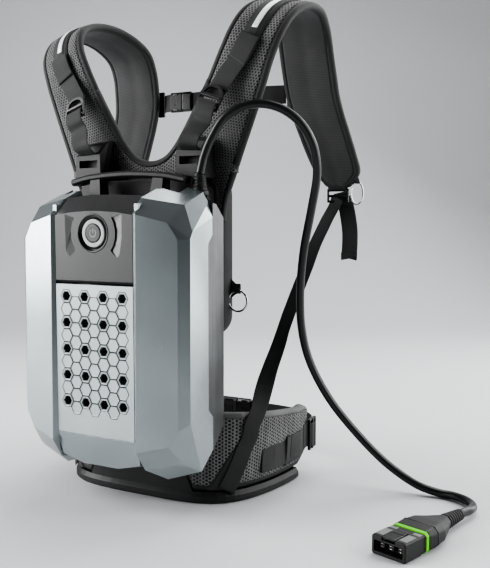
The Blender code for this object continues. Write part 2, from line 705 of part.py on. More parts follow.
def eye(hinge, along, reach=0.012, radius=0.0021):
    """A short round hole through a sewn loop, around a ring's hinge axis."""
    along = Vector(along).normalized()
    first = Vector((0, 0, 1))
    second = along.cross(first)
    return loft([[hinge + along * step + (first * math.cos(math.radians(45 * k))
                                          + second * math.sin(math.radians(45 * k))) * radius
                  for k in range(8)] for step in (-reach, reach)])


def strap_tip(side, name):
    ladder_lock("strap_adjuster_" + name, (0.211 * side, 0.1115, 0.4445), (0.0, 0.0, 1.0),
                (0.0, -1.0, 0.0), arch=False)
    lower = [(0.2066, 0.1080, 0.4285), (0.2002, 0.0900, 0.4040), (0.1950, 0.0600, 0.3695),
             (0.1896, 0.0180, 0.3138), (0.1852, -0.0225, 0.2610), (0.1815, -0.0420, 0.2262),
             (0.1755, -0.0720, 0.1755), (0.1712, -0.0913, 0.1315), (0.1660, -0.1000, 0.1120),
             (0.1627, -0.1000, 0.0950),
             (0.1556, -0.1046, 0.0768), (0.1480, -0.1116, 0.0501), (0.1368, -0.1222, 0.0187)]
    across = [(0.90, -0.34, -0.1)] * 5 + [(0.93, 0.0, -0.1), (0.62, 0.79, 0.0)]
    across += [(0.65, 0.76, -0.2), (0.75, 0.66, -0.3)]
    make_object("lower_webbing_" + name, ribbon(mirror_x(lower, side), mirror_x(across, side),
                                                40, LOWER_WEBBING), WEB_GREY)
    tail = [(0.2190, 0.1180, 0.4305), (0.2245, 0.1170, 0.4150), (0.2300, 0.1160, 0.3887),
            (0.2305, 0.1150, 0.3650), (0.2295, 0.1140, 0.3450)]
    across = [(1.0, 0.0, 0.0), (0.88, 0.47, 0.0), (0.88, 0.47, 0.0)]
    make_object("webbing_tail_" + name, ribbon(mirror_x(tail, side), mirror_x(across, side),
                                               10, LOWER_WEBBING), WEB_GREY)
    hinge = flip(TIP_HINGE, side)
    piece = wire_ring("tip_ring_" + name, hinge - Vector((0, 0, TIP_RING_HEIGHT)),
                      (0.47 * side, -0.88, 0.0), TIP_RING_WIDTH, TIP_RING_HEIGHT)
    hang_on(piece, hinge)


def chest_strap():
    height = 0.610
    for side, name in ((-1, "left"), (1, "right")):
        x = 0.1265 * side
        slider = box((-0.006, 0.1050, height - 0.022), (0.006, 0.1100, height + 0.022))
        bmesh.ops.translate(slider, verts=slider.verts, vec=(x, 0.0046, 0.0))
        make_object("chest_slider_" + name, slider, BLACK_PLASTIC)
    middle = -0.078
    socket = [(middle - 0.020, 0.0, -0.017), (middle - 0.020, 0.0, 0.017),
              (middle + 0.006, 0.0, 0.018), (middle + 0.006, 0.0, -0.018)]
    for name, sign, x_from, x_to in (("chest_buckle_socket", -1, middle - 0.020, middle + 0.004),
                                     ("chest_buckle_plug", 1, middle + 0.0043, middle + 0.022)):
        corners = [(x, y, height + z) for x in (x_from, x_to)
                   for y, z in ((0.1040, 0.013), (0.1040, -0.013), (0.1020, 0.017),
                                (0.1020, -0.017), (0.0950, 0.013), (0.0950, -0.013),
                                (0.0970, 0.017), (0.0970, -0.017))]
        make_object(name, hull(corners), BLACK_PLASTIC)
    left = [(-0.1190, 0.1100, height), (-0.112, 0.1050, height), (-0.0985, 0.0995, height)]
    right = [(-0.0557, 0.0995, height), (0.020, 0.0990, height), (0.085, 0.1010, height),
             (0.1190, 0.1100, height)]
    make_object("chest_webbing_left", ribbon(left, (0, 0, 1), 5), WEB_GREY)
    make_object("chest_webbing_right", ribbon(right, (0, 0, 1), 12), WEB_GREY)


# Hip belt

BELT_PATH = [(0.0, -0.1460), (0.055, -0.1450), (0.098, -0.1395), (0.128, -0.1250),
             (0.150, -0.0970), (0.165, -0.0550), (0.1735, -0.0050), (0.1755, 0.0400),
             (0.1715, 0.0800)]


def belt_stations(first, last, count):
    """Points and outward directions on the belt's outer face, from first to last (0 to 1)."""
    fine = smooth([(x, y, 0.0) for x, y in BELT_PATH], 81)
    found = []
    for k in range(count):
        i = round((first + (last - first) * k / (count - 1)) * 80)
        along = direction(fine, i)
        found.append((fine[i], Vector((along.y, -along.x, 0.0))))
    return found


def mix(a, b, t):
    return a + (b - a) * min(max(t, 0.0), 1.0)


def base_top(fraction):
    """Height of the moulded base at a fraction of the belt's half length."""
    return mix(0.058, 0.0165, (fraction - 6 * BELT_STEP) / (2 * BELT_STEP))


def lumbar_base():
    last, count = 26 * BELT_STEP, 27
    stations = belt_stations(0.0, last, count)
    rows = []
    for side, order in ((-1, range(count - 1, -1, -1)), (1, range(1, count))):
        for k in order:
            point, outward = stations[k]
            top = base_top(last * k / (count - 1))
            section = ((0.004, 0.003), (0.004, 0.010), (0.0, 0.016), (0.0, top),
                       (-BELT_THICKNESS, top), (-BELT_THICKNESS, 0.003), (-0.017, 0.0),
                       (0.001, 0.0))
            rows.append([flip(point + outward * out + Vector((0, 0, z)), side)
                         for out, z in section])
    make_object("lumbar_base", loft(rows), BLACK_PLASTIC)


def lumbar_pad():
    rows = []
    for depth, inset, top in ((-0.1425, 0.003, 0.072), (-0.138, 0.0, 0.078),
                              (-0.118, 0.0, 0.093), (-0.1135, 0.004, 0.090)):
        outline = rounded(0.0660 - inset, 0.0583, top, 0.006, 2)
        rows.append([(x, depth, z) for x, z in outline])
    make_object("lumbar_pad", loft(rows), LINING)


def hip_wing(side, name):
    first, count = 6 * BELT_STEP, 25
    rows = []
    for k, (point, outward) in enumerate(belt_stations(first, 1.0, count)):
        fraction = first + (1 - first) * k / (count - 1)
        bottom = mix(base_top(fraction) + GAP * 2, 0.034, (fraction - 0.88) / 0.12)
        top = mix(0.088, 0.131, (fraction - 0.345) / 0.04)
        top = mix(top, 0.113, (fraction - 0.46) / 0.40)
        top = mix(top, 0.104, (fraction - 0.92) / 0.08)
        middle = (bottom + top) / 2
        lean = mix(0.0, BELT_LEAN, (fraction - 0.38) / 0.08)
        lean = mix(lean, 0.004, (fraction - 0.62) / 0.38)
        section = ((-0.002, bottom), (0.001, bottom + 0.006), (lean * 0.5, middle),
                   (lean, top - 0.006), (lean - 0.004, top), (lean - 0.013, top),
                   (lean - 0.017, top - 0.006), (lean * 0.5 - 0.018, middle),
                   (-0.018, bottom + 0.006), (-0.015, bottom))
        rows.append([flip(point + outward * out + Vector((0, 0, z)), side)
                     for out, z in section])
    make_object("hip_wing_" + name, loft(rows), MESH_FABRIC)


def hip_front():
    for side, name in ((-1, "left"), (1, "right")):
        heights = (0.0540, 0.0535, 0.0530, 0.0540, 0.0570, 0.0620)
        stations = belt_stations(0.566, 1.0, len(heights))
        route = [point + outward * HIP_WEBBING_OUT + Vector((0, 0, z))
                 for (point, outward), z in zip(stations, heights)]
        route += [Vector((0.166, 0.112, 0.063)), Vector((0.138, 0.133, 0.0645)),
                  Vector((0.100, 0.140, 0.0655)), Vector((0.065, 0.1415, 0.066))]
        route = [flip(point, side) for point in route]
        end = HIP_BUCKLE[0 if side < 0 else 1]
        route.append(Vector((end, 0.1415, HIP_BUCKLE_HEIGHT)))
        make_object("hip_webbing_" + name, ribbon(route, (0, 0, 1), 30, HIP_WEBBING), WEB_GREY)
    split = HIP_BUCKLE[0] + 0.0325
    for name, x_from, x_to in (("hip_buckle_socket", HIP_BUCKLE[0] + GAP, split),
                               ("hip_buckle_plug", split + GAP, HIP_BUCKLE[1] - GAP)):
        corners = [(x, 0.1415 + y, HIP_BUCKLE_HEIGHT + z) for x in (x_from, x_to)
                   for y, z in ((0.0055, 0.018), (0.0055, -0.018), (0.003, 0.023),
                                (0.003, -0.023), (-0.0055, 0.018), (-0.0055, -0.018),
                                (-0.003, 0.023), (-0.003, -0.023))]
        make_object(name, hull(corners), BLACK_PLASTIC)


def side_loops():
    for side, name in ((-1, "left"), (1, "right")):
        tab = [(x, y, z) for y in (-0.0860, -0.0842) for x, z in
               ((0.1183, 0.3250), (0.1183, 0.2860), (0.1400, 0.3080), (0.1400, 0.2990))]
        piece = make_object("side_tab_" + name, hull(mirror_x(tab, side)), WEB_GREY)
        hinge = flip(SIDE_HINGE, side)
        fold = [(x, y, z) for x in (0.1345, 0.1405) for y, z in
                ((-0.0930, 0.3045), (-0.0930, 0.3015), (-0.0910, 0.3070), (-0.0910, 0.2990),
                 (-0.0850, 0.3070), (-0.0850, 0.2990))]
        join(piece, hull(mirror_x(fold, side)))
        cut(piece, eye(hinge, (1.0, 0.0, 0.0)))
        loop = wire_ring("side_ring_" + name, hinge - Vector((0, 0, SIDE_RING)),
                         (0.0, -1.0, 0.0), SIDE_RING, SIDE_RING)
        hang_on(loop, hinge)


# Cord and plug

CORD_ROUTE = [
    (0.1122, -0.1505, 0.4681), (0.1187, -0.1500, 0.4915), (0.1290, -0.1475, 0.5150),
    (0.1450, -0.1430, 0.5400), (0.1660, -0.1360, 0.5540), (0.1880, -0.1270, 0.5590),
    (0.2080, -0.1180, 0.5560), (0.2250, -0.1070, 0.5470), (0.2400, -0.0960, 0.5310),
    (0.2500, -0.0860, 0.5090), (0.2530, -0.0780, 0.4870), (0.2500, -0.0690, 0.4600),
    (0.2370, -0.0580, 0.4150), (0.2210, -0.0460, 0.3600), (0.2110, -0.0350, 0.3020),
    (0.2080, -0.0220, 0.2440), (0.2160, -0.0080, 0.1920), (0.2400, 0.0090, 0.1370),
    (0.2780, 0.0240, 0.0860), (0.3200, 0.0350, 0.0440), (0.3620, 0.0440, 0.0160),
    (0.3950, 0.0480, 0.0066), (0.4200, 0.0450, 0.0064), (0.4420, 0.0310, 0.0068),
    (0.4540, 0.0100, 0.0080), (0.4550, -0.0120, 0.0105),
]
CORD_POINTS = 56


def plug_point(back, across, height):
    sideways = Vector((PLUG_BACKWARDS.y, -PLUG_BACKWARDS.x, 0.0))
    return PLUG_FRONT + PLUG_BACKWARDS * back + sideways * across + Vector((0, 0, height))


def plug_section(back, half, low, high, corner):
    """One eight sided section across the plug."""
    pairs = ((-half + corner, low), (half - corner, low), (half, low + corner),
             (half, high - corner), (half - corner, high), (-half + corner, high),
             (-half, high - corner), (-half, low + corner))
    return [plug_point(back, across, height) for across, height in pairs]


def plug():
    half, high = PLUG_WIDTH / 2, PLUG_HEIGHT
    nose = [(0.0, half - 0.001, 0.0010, high - 0.001, 0.0015), (0.0015, half, 0.0, high, 0.002),
            (0.0330, half, 0.0, high, 0.002), (0.0335, half - 0.0008, 0.0006, high - 0.0006, 0.002),
            (0.0430, half - 0.0008, 0.0006, high - 0.0006, 0.002)]
    front = make_object("plug_nose", loft([plug_section(*s) for s in nose]), BLACK_PLASTIC)
    cut(front, loft([plug_section(back, half - 0.004, 0.0045, high - 0.0065, 0.001)
                     for back in (-0.005, 0.014)]))
    cut(front, loft([plug_section(back, 0.0095, high - 0.0045, high + 0.004, 0.0005)
                     for back in (-0.004, 0.0300)]))
    collar = [(0.0433, half + 0.0010, 0.0, high + 0.0010, 0.004),
              (0.0483, half + 0.0016, 0.0, high + 0.0016, 0.004)]
    make_object("plug_collar", loft([plug_section(*s) for s in collar]), GREEN)
    grip = [(0.0486, half + 0.0012, 0.0, high + 0.0012, 0.004),
            (0.0640, half + 0.0030, 0.0, high + 0.0025, 0.006),
            (0.0840, half + 0.0020, 0.0, high + 0.0020, 0.007),
            (0.1020, half - 0.0050, 0.001, high - 0.001, 0.007),
            (0.1180, 0.0125, 0.003, 0.0215, 0.006), (0.1260, 0.0100, 0.0035, 0.0205, 0.006)]
    make_object("plug_body", loft([plug_section(*s) for s in grip]), BLACK_PLASTIC)
    relief = []
    for k in range(6):
        start = 0.1263 + 0.0066 * k
        radius = 0.0100 - 0.00045 * k
        relief += [(start, radius), (start + 0.0036, radius), (start + 0.0040, radius - 0.0012),
                   (start + 0.0062, radius - 0.0012)]
    rows = []
    for back, radius in relief:
        rows.append([plug_point(back, radius * math.cos(math.radians(30 * k)),
                                0.0115 + radius * math.sin(math.radians(30 * k)))
                     for k in range(12)])
    make_object("plug_relief", loft(rows), BLACK_PLASTIC)
    latch = make_object("plug_latch",
                        loft([plug_section(back, 0.0085, high - 0.0021 + lift, high + 0.0004 + lift,
                                           0.0004)
                              for back, lift in ((0.0010, 0.0), (0.0200, 0.0), (0.0215, 0.0006),
                                                 (0.0290, 0.0006))]), PANEL_GREY)
    hang_on(latch, plug_point(0.0285, 0.0, high - 0.0010))


def power_cable():
    end = plug_point(0.1657 + GAP, 0.0, 0.0115)
    route = [Vector(point) for point in CORD_ROUTE] + [end + PLUG_BACKWARDS * 0.006, end]
    points = smooth(route, CORD_POINTS)
    curve = bpy.data.curves.new("power_cable", "CURVE")
    curve.dimensions = "3D"
    curve.bevel_depth = CORD_RADIUS
    curve.bevel_resolution = 2
    curve.use_fill_caps = True
    spline = curve.splines.new("POLY")
    spline.points.add(len(points) - 1)
    for target, point in zip(spline.points, points):
        target.co = (*point, 1.0)
    cable = bpy.data.objects.new("power_cable", curve)
    curve.materials.append(make_material("power_cable", CORD_RUBBER))
    bpy.context.scene.collection.objects.link(cable)


def build():
    start_clean()
    front_shell()
    grille_panel()
    control_panel()
    power_switch()
    rear_case()
    battery()
    carry_handle()
    cable_gland()
    harness_frame()
    back_pad()
    harness_yoke()
    for side, name in ((-1, "left"), (1, "right")):
        lifter_bracket(side, name)
        shoulder_strap(side, name)
        strap_band(side, name)
        lifter(side, name)
        strap_tip(side, name)
        hip_wing(side, name)
    chest_strap()
    lumbar_base()
    lumbar_pad()
    hip_front()
    side_loops()
    plug()
    power_cable()


build()
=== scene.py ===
"""Looks of the backpack battery power pack: paint, fabric, webbing, hardware and cord.

Lengths are in metres: x to the wearer's right, y towards the wearer, z up.
"""

import json
import math
from bisect import bisect_left

import bmesh
import bpy
from mathutils import Matrix, Vector, noise

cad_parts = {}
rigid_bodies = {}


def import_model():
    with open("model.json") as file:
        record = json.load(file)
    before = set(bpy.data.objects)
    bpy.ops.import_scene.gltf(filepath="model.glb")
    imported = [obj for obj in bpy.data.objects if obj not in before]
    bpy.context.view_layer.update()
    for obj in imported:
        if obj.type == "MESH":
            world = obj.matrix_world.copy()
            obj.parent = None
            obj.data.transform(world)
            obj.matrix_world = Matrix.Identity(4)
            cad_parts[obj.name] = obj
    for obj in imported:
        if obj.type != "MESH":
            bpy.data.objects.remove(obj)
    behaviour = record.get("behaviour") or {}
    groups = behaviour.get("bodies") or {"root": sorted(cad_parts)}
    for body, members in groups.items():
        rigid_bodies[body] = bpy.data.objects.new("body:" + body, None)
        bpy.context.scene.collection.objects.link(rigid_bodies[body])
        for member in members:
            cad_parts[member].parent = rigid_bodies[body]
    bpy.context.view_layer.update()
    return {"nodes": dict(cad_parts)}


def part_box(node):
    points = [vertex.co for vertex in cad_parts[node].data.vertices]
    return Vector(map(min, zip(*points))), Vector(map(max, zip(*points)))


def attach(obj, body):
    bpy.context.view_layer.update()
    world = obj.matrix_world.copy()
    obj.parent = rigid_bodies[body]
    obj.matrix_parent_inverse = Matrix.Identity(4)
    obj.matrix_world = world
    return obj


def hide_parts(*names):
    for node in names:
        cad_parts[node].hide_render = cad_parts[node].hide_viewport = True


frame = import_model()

NODES = frame["nodes"]
SIDES = ((-1, "left"), (1, "right"))


# Node materials

class Graph:
    """A material with a principled shader, and short calls for building its node tree."""

    def __init__(self, name, colour, roughness, metallic=0.0, coat=0.0, sheen=0.0):
        self.material = bpy.data.materials.new(name)
        self.material.use_nodes = True
        self.tree = self.material.node_tree
        self.inputs = self.tree.nodes["Principled BSDF"].inputs
        self.inputs["Base Color"].default_value = (*colour, 1.0)
        for label, value in (("Roughness", roughness), ("Metallic", metallic), ("Coat Weight", coat),
                             ("Coat Roughness", 0.25), ("Sheen Weight", sheen)):
            self.inputs[label].default_value = value

    def add(self, kind, **settings):
        node = self.tree.nodes.new(kind)
        for key, value in settings.items():
            setattr(node, key, value)
        return node

    def link(self, source, target):
        if isinstance(source, (int, float, tuple)):
            target.default_value = source
        else:
            self.tree.links.new(source, target)

    def math(self, operation, a, b=0.0, c=0.0):
        node = self.add("ShaderNodeMath", operation=operation)
        for value, socket in zip((a, b, c), node.inputs):
            self.link(value, socket)
        return node.outputs[0]

    def blend(self, a, b, share):
        """The given share of a, and the rest of b."""
        return self.math("MULTIPLY_ADD", a, share, self.math("MULTIPLY", b, 1.0 - share))

    def vector(self, operation, a, b=(0.0, 0.0, 0.0)):
        node = self.add("ShaderNodeVectorMath", operation=operation)
        self.link(a, node.inputs[0])
        self.link(b, node.inputs[1])
        return node.outputs["Value" if operation == "LENGTH" else "Vector"]

    def objects(self):
        return self.add("ShaderNodeTexCoord").outputs["Object"]

    def cloth(self):
        """Position on the cloth, in metres: across, along."""
        return self.add("ShaderNodeUVMap", uv_map="cloth").outputs["UV"]

    def cloth_axes(self):
        split = self.add("ShaderNodeSeparateXYZ")
        self.link(self.cloth(), split.inputs[0])
        return split.outputs[0], split.outputs[1]

    def wave(self, distance, pitch):
        return self.math("SINE", self.math("MULTIPLY", distance, 2 * math.pi / pitch))

    def noise(self, place, scale, detail=3.0, roughness=0.55):
        node = self.add("ShaderNodeTexNoise")
        node.inputs["Scale"].default_value = scale
        node.inputs["Detail"].default_value = detail
        node.inputs["Roughness"].default_value = roughness
        self.link(place, node.inputs["Vector"])
        return node.outputs["Fac"]

    def spread(self, value, low, high):
        """From 0 to 1, smoothly, as the value goes from low to high."""
        node = self.add("ShaderNodeMapRange", interpolation_type="SMOOTHSTEP")
        for number, socket in zip((low, high, 0.0, 1.0), node.inputs[1:5]):
            socket.default_value = number
        self.link(value, node.inputs[0])
        return node.outputs[0]

    def mix(self, factor, a, b):
        node = self.add("ShaderNodeMix", data_type="RGBA")
        self.link(factor, node.inputs["Factor"])
        self.link((*a, 1.0) if isinstance(a, tuple) else a, node.inputs[6])
        self.link((*b, 1.0) if isinstance(b, tuple) else b, node.inputs[7])
        return node.outputs[2]

    def tint(self, tone, low, high, colour, dark, pale):
        """A darker shade of the colour where the tone is low, and a paler one where it is high."""
        return self.mix(self.spread(tone, low, high), shade(colour, dark), shade(colour, pale))

    def bump(self, height, distance):
        """Add a height in metres on top of the bumps that are already there."""
        node = self.add("ShaderNodeBump")
        node.inputs["Strength"].default_value = 1.0
        node.inputs["Distance"].default_value = distance
        self.link(height, node.inputs["Height"])
        normal = self.inputs["Normal"]
        if normal.is_linked:
            self.tree.links.new(normal.links[0].from_socket, node.inputs["Normal"])
        self.tree.links.new(node.outputs[0], normal)

    def colour(self, source):
        self.tree.links.new(source, self.inputs["Base Color"])

    def rough(self, source):
        self.tree.links.new(source, self.inputs["Roughness"])


def shade(colour, factor):
    return tuple(min(c * factor, 1.0) for c in colour)


def moulded(name, colour, roughness, grain=0.00006, grain_scale=1400.0, wear=0.12, **more):
    """Moulded or painted plastic: fine grain, uneven gloss, and dust-pale patches of wear."""
    g = Graph(name, colour, roughness, **more)
    place = g.objects()
    large = g.noise(place, 9.0, 4.0)
    scuff = g.spread(g.noise(place, 70.0, 6.0, 0.7), 0.60, 0.78)
    base = g.tint(large, 0.3, 0.7, colour, 0.93, 1.06)
    g.colour(g.mix(g.math("MULTIPLY", scuff, wear), base, shade(colour, 1.5)))
    change = g.math("MULTIPLY_ADD", large, wear * 0.8, roughness - wear * 0.4)
    g.rough(g.math("MULTIPLY_ADD", scuff, wear * 0.5, change))
    g.bump(g.noise(place, grain_scale, 2.0), grain)
    return g.material


def brushed(name, colour, roughness, stretch):
    """Metal with a grain drawn out along one direction."""
    g = Graph(name, colour, roughness, metallic=1.0)
    lines = g.noise(g.vector("MULTIPLY", g.objects(), stretch), 1.0, 4.0, 0.7)
    tone = g.blend(g.noise(g.objects(), 14.0, 3.0), lines, 0.35)
    g.colour(g.tint(tone, 0.35, 0.65, colour, 0.78, 1.2))
    g.rough(g.math("MULTIPLY_ADD", lines, 0.16, roughness - 0.08))
    g.bump(lines, 0.00008)
    return g.material


def spacer_mesh(name, colour, pitch=0.0046, hole=0.30):
    """Knitted spacer fabric with staggered round holes."""
    g = Graph(name, colour, 0.75, sheen=0.03)
    place = g.cloth()
    cell = (1.0, math.sqrt(3.0), 1.0)
    nearest = None
    for shift in (0.0, 0.5):
        step = g.vector("DIVIDE", place, tuple(pitch * c for c in cell))
        step = g.vector("ADD", step, (shift, shift, 0.0))
        step = g.vector("SUBTRACT", g.vector("FRACTION", step), (0.5, 0.5, 0.0))
        away = g.vector("LENGTH", g.vector("MULTIPLY", step, (cell[0], cell[1], 0.0)))
        nearest = away if nearest is None else g.math("MINIMUM", nearest, away)
    solid_part = g.spread(nearest, hole - 0.07, hole + 0.06)
    yarn = g.math("SINE", g.math("MULTIPLY", nearest, 34.0))
    fuzz = g.noise(g.objects(), 900.0, 2.0)
    tone = g.blend(fuzz, g.noise(g.objects(), 26.0, 4.0), 0.5)
    # The holes are painted near black: painted shade inside the fabric's depth
    g.colour(g.mix(solid_part, (0.006, 0.006, 0.006), g.tint(tone, 0.35, 0.65, colour, 0.78, 1.2)))
    g.bump(solid_part, 0.0007)
    g.bump(g.math("MULTIPLY", yarn, solid_part), 0.00012)
    g.bump(fuzz, 0.0001)
    return g.material


def woven(name, colour, rib=0.0017, yarn=0.0011, relief=0.00022):
    """Woven tape: ribs across it, crossed by yarns along it, in a slight twill."""
    g = Graph(name, colour, 0.7, sheen=0.03)
    across, along = g.cloth_axes()
    turn = 2 * math.pi
    twill = g.math("MULTIPLY_ADD", across, turn * 0.35 / yarn, g.math("MULTIPLY", along, turn / rib))
    height = g.spread(g.blend(g.wave(across, yarn), g.math("SINE", twill), 0.45), -1.0, 1.0)
    # Partly painted shade: the colour follows the weave's height, darker between the yarns and paler
    # on top of them, mixed with random tone
    tone = g.blend(height, g.noise(g.objects(), 30.0, 4.0), 0.55)
    g.colour(g.tint(tone, 0.2, 0.8, colour, 0.62, 1.35))
    g.bump(height, relief)
    g.bump(g.noise(g.objects(), 1100.0, 2.0), 0.00008)
    return g.material


def knit(name, colour):
    """Lining: fine horizontal ribs in a soft knit."""
    g = Graph(name, colour, 0.85, sheen=0.06)
    across, along = g.cloth_axes()
    height = g.spread(g.blend(g.wave(along, 0.0026), g.wave(across, 0.0018), 0.7), -1.0, 1.0)
    # Partly painted shade: the colour follows the ribs' height, darker in the hollows and paler on the
    # ribs, mixed with random tone
    tone = g.blend(height, g.noise(g.objects(), 18.0, 4.0), 0.4)
    g.colour(g.tint(tone, 0.2, 0.8, colour, 0.75, 1.25))
    g.bump(height, 0.00018)
    g.bump(g.noise(g.objects(), 700.0, 2.0), 0.00012)
    return g.material


def reflective(name):
    """Reflective tape: silver with a fine honeycomb."""
    g = Graph(name, (0.88, 0.90, 0.92), 0.35, metallic=0.05, coat=0.4)
    cells = g.add("ShaderNodeTexVoronoi", feature="DISTANCE_TO_EDGE")
    cells.inputs["Scale"].default_value = 620.0
    g.link(g.cloth(), cells.inputs["Vector"])
    lines = g.spread(cells.outputs["Distance"], 0.02, 0.10)
    g.colour(g.mix(lines, (0.70, 0.72, 0.74), (0.92, 0.94, 0.95)))
    g.bump(lines, 0.00006)
    return g.material


PAINT = moulded("shell_paint", (0.325, 0.362, 0.372), 0.27, grain=0.00002, grain_scale=2600.0,
                wear=0.015, metallic=0.80, coat=0.30)
GRILLE = moulded("grille_paint", (0.40, 0.438, 0.450), 0.38, grain=0.00002, grain_scale=2600.0,
                 wear=0.02, metallic=0.55, coat=0.20)
PANEL = moulded("panel_grey", (0.046, 0.046, 0.047), 0.36, coat=0.15)
BLACK = moulded("black_plastic", (0.010, 0.010, 0.0105), 0.50)
SATIN = moulded("satin_black", (0.008, 0.008, 0.0085), 0.26, grain=0.00003, coat=0.2)
GREY = moulded("plug_grey", (0.17, 0.17, 0.17), 0.40)
GREEN = moulded("collar_green", (0.12, 0.55, 0.008), 0.36)
RUBBER = moulded("cord_rubber", (0.016, 0.0165, 0.017), 0.33, grain=0.00005, grain_scale=900.0)
GUIDE = moulded("light_guide", (0.40, 0.41, 0.41), 0.30, grain=0.00001, coat=0.3)
BOARD = moulded("board_green", (0.02, 0.12, 0.05), 0.45)
WRAP = moulded("cell_wrap", (0.03, 0.10, 0.22), 0.35)
ALUMINIUM = brushed("brushed_tray", (0.125, 0.128, 0.131), 0.34, (520.0, 520.0, 9.0))
STEEL = brushed("steel_wire", (0.55, 0.56, 0.57), 0.22, (90.0, 90.0, 90.0))
NICKEL = brushed("nickel_strip", (0.55, 0.52, 0.46), 0.30, (300.0, 20.0, 300.0))
MESH = spacer_mesh("spacer_mesh", (0.190, 0.190, 0.190))
DARK_MESH = spacer_mesh("belt_mesh", (0.175, 0.175, 0.175), pitch=0.0052, hole=0.31)
BINDING = woven("binding_tape", (0.030, 0.030, 0.0305), rib=0.0012, yarn=0.0009, relief=0.00012)
# A paler copy of the binding for the belt's upper edge: painted highlight where the light falls on top
BELT_EDGE_HIGHLIGHT = woven("belt_edge_tape", (0.120, 0.120, 0.121), rib=0.0012, yarn=0.0009,
                  relief=0.00012)
WEB = woven("webbing", (0.030, 0.030, 0.0305))
LINING = knit("lining_knit", (0.062, 0.062, 0.0625))
REFLECT = reflective("reflective_tape")
THREAD = woven("thread", (0.055, 0.055, 0.055), rib=0.0006, yarn=0.0004)
# Painted shade: a dark sheet laid on the grille where its grooves would be in shadow
SHADOW = moulded("groove_shade", (0.020, 0.023, 0.025), 0.5)
INK = moulded("symbol_pale", (0.36, 0.37, 0.37), 0.4)
PAD_LOOKS = [MESH, BINDING, LINING]


# CAD nodes

CAD_LOOKS = (
    (PAINT, "front_shell"),
    (GRILLE, "grille_panel"),
    (PANEL, "control_panel power_button"),
    (ALUMINIUM, "rear_case"),
    (GUIDE, "button_light_ring"),
    (WRAP, "cell_block_upper cell_block_lower"),
    (BOARD, "control_board"),
    (GREEN, "plug_collar"),
    (SATIN, "button_bezel plug_latch chest_buckle_plug hip_buckle_plug strap_adjuster_left "
            "strap_adjuster_right"),
    (BLACK, "busbar_sheet cable_gland carry_handle harness_frame lumbar_base plug_nose plug_body "
            "chest_buckle_socket hip_buckle_socket lifter_bracket_left lifter_bracket_right "
            "lifter_slider_left lifter_slider_right chest_slider_left chest_slider_right"),
)
CAD_BEVELS = (
    (0.0022, "front_shell plug_body"),
    (0.0020, "carry_handle harness_frame"),
    (0.0016, "rear_case hip_buckle_socket hip_buckle_plug lifter_bracket_left lifter_bracket_right"),
    (0.0015, "lumbar_base"),
    (0.0012, "chest_buckle_socket chest_buckle_plug chest_slider_left chest_slider_right"),
    (0.0008, "control_panel"),
    (0.0006, "plug_nose power_button"),
    (0.0005, "plug_collar lifter_slider_left lifter_slider_right strap_adjuster_left "
             "strap_adjuster_right"),
    (0.0004, "button_bezel"),
    (0.0003, "grille_panel button_light_ring plug_latch"),
    (0.0002, "control_board"),
)


def add_bevel(piece, width, segments=3, angle=28):
    """Round the edges that are sharper than the angle, in degrees."""
    bevel = piece.modifiers.new("bevel", "BEVEL")
    bevel.width = width
    bevel.segments = segments
    bevel.limit_method = "ANGLE"
    bevel.angle_limit = math.radians(angle)


def add_normals(piece, weight=50):
    normals = piece.modifiers.new("normals", "WEIGHTED_NORMAL")
    normals.weight = weight
    normals.keep_sharp = True


def dress_cad_nodes():
    """Materials on the CAD nodes that are shown, with their flats joined and their edges rounded."""
    bevels = {name: width for width, names in CAD_BEVELS for name in names.split()}
    looks = {name: look for look, names in CAD_LOOKS for name in names.split()}
    for name, look in looks.items():
        node = NODES[name]
        node.data.materials.clear()
        node.data.materials.append(look)
        weld = node.modifiers.new("weld", "WELD")
        weld.merge_threshold = 0.00002
        if name in bevels:
            # The shell's facets are slightly warped, and some meet at a shallow angle
            flat_angle, edge_angle = (8, 10) if name == "front_shell" else (1, 28)
            flats = node.modifiers.new("flats", "DECIMATE")
            flats.decimate_type = "DISSOLVE"
            flats.angle_limit = math.radians(flat_angle)
            add_bevel(node, bevels[name], angle=edge_angle)
        add_normals(node, 100)


# Points, curves and meshes

def catmull(points, per):
    """Even steps of parameter on a smooth curve through the points."""
    anchors = [Vector(p) for p in points]
    anchors = [2 * anchors[0] - anchors[1]] + anchors + [2 * anchors[-1] - anchors[-2]]
    found = []
    for a, b, c, d in zip(anchors, anchors[1:], anchors[2:], anchors[3:]):
        for step in range(per):
            t = step / per
            found.append(0.5 * (2 * b + (c - a) * t + (2 * a - 5 * b + 4 * c - d) * t ** 2
                                + (3 * b - a - 3 * c + d) * t ** 3))
    found.append(anchors[-2])
    return found


def arc_lengths(points):
    lengths = [0.0]
    for a, b in zip(points, points[1:]):
        lengths.append(lengths[-1] + (b - a).length)
    return lengths


def at_length(points, lengths, target):
    """The point at a distance along a line, and the number of the span it is in."""
    k = min(max(bisect_left(lengths, target) - 1, 0), len(points) - 2)
    part = (target - lengths[k]) / max(lengths[k + 1] - lengths[k], 1e-9)
    return points[k].lerp(points[k + 1], min(part, 1.0)), k


def evenly(points, count):
    """The same line with count points at even spacing."""
    lengths = arc_lengths(points)
    return [at_length(points, lengths, lengths[-1] * step / (count - 1))[0] for step in range(count)]


def smooth(points, count):
    """A smooth curve through the points, as count points at even spacing."""
    return evenly(catmull(points, 12), count)


def heading(points, i):
    """The line's direction at one of its points."""
    after = points[min(i + 1, len(points) - 1)]
    return (after - points[max(i - 1, 0)]).normalized()


def flip(point, side):
    """The point itself on the right, and its mirror image on the left."""
    return Vector((side * point[0], point[1], point[2]))


def mix(a, b, t):
    """From a to b as t goes from 0 to 1."""
    return a + (b - a) * min(max(t, 0.0), 1.0)


def ease(t):
    """From 0 to 1 with a soft start and end."""
    t = min(max(t, 0.0), 1.0)
    return t * t * (3 - 2 * t)


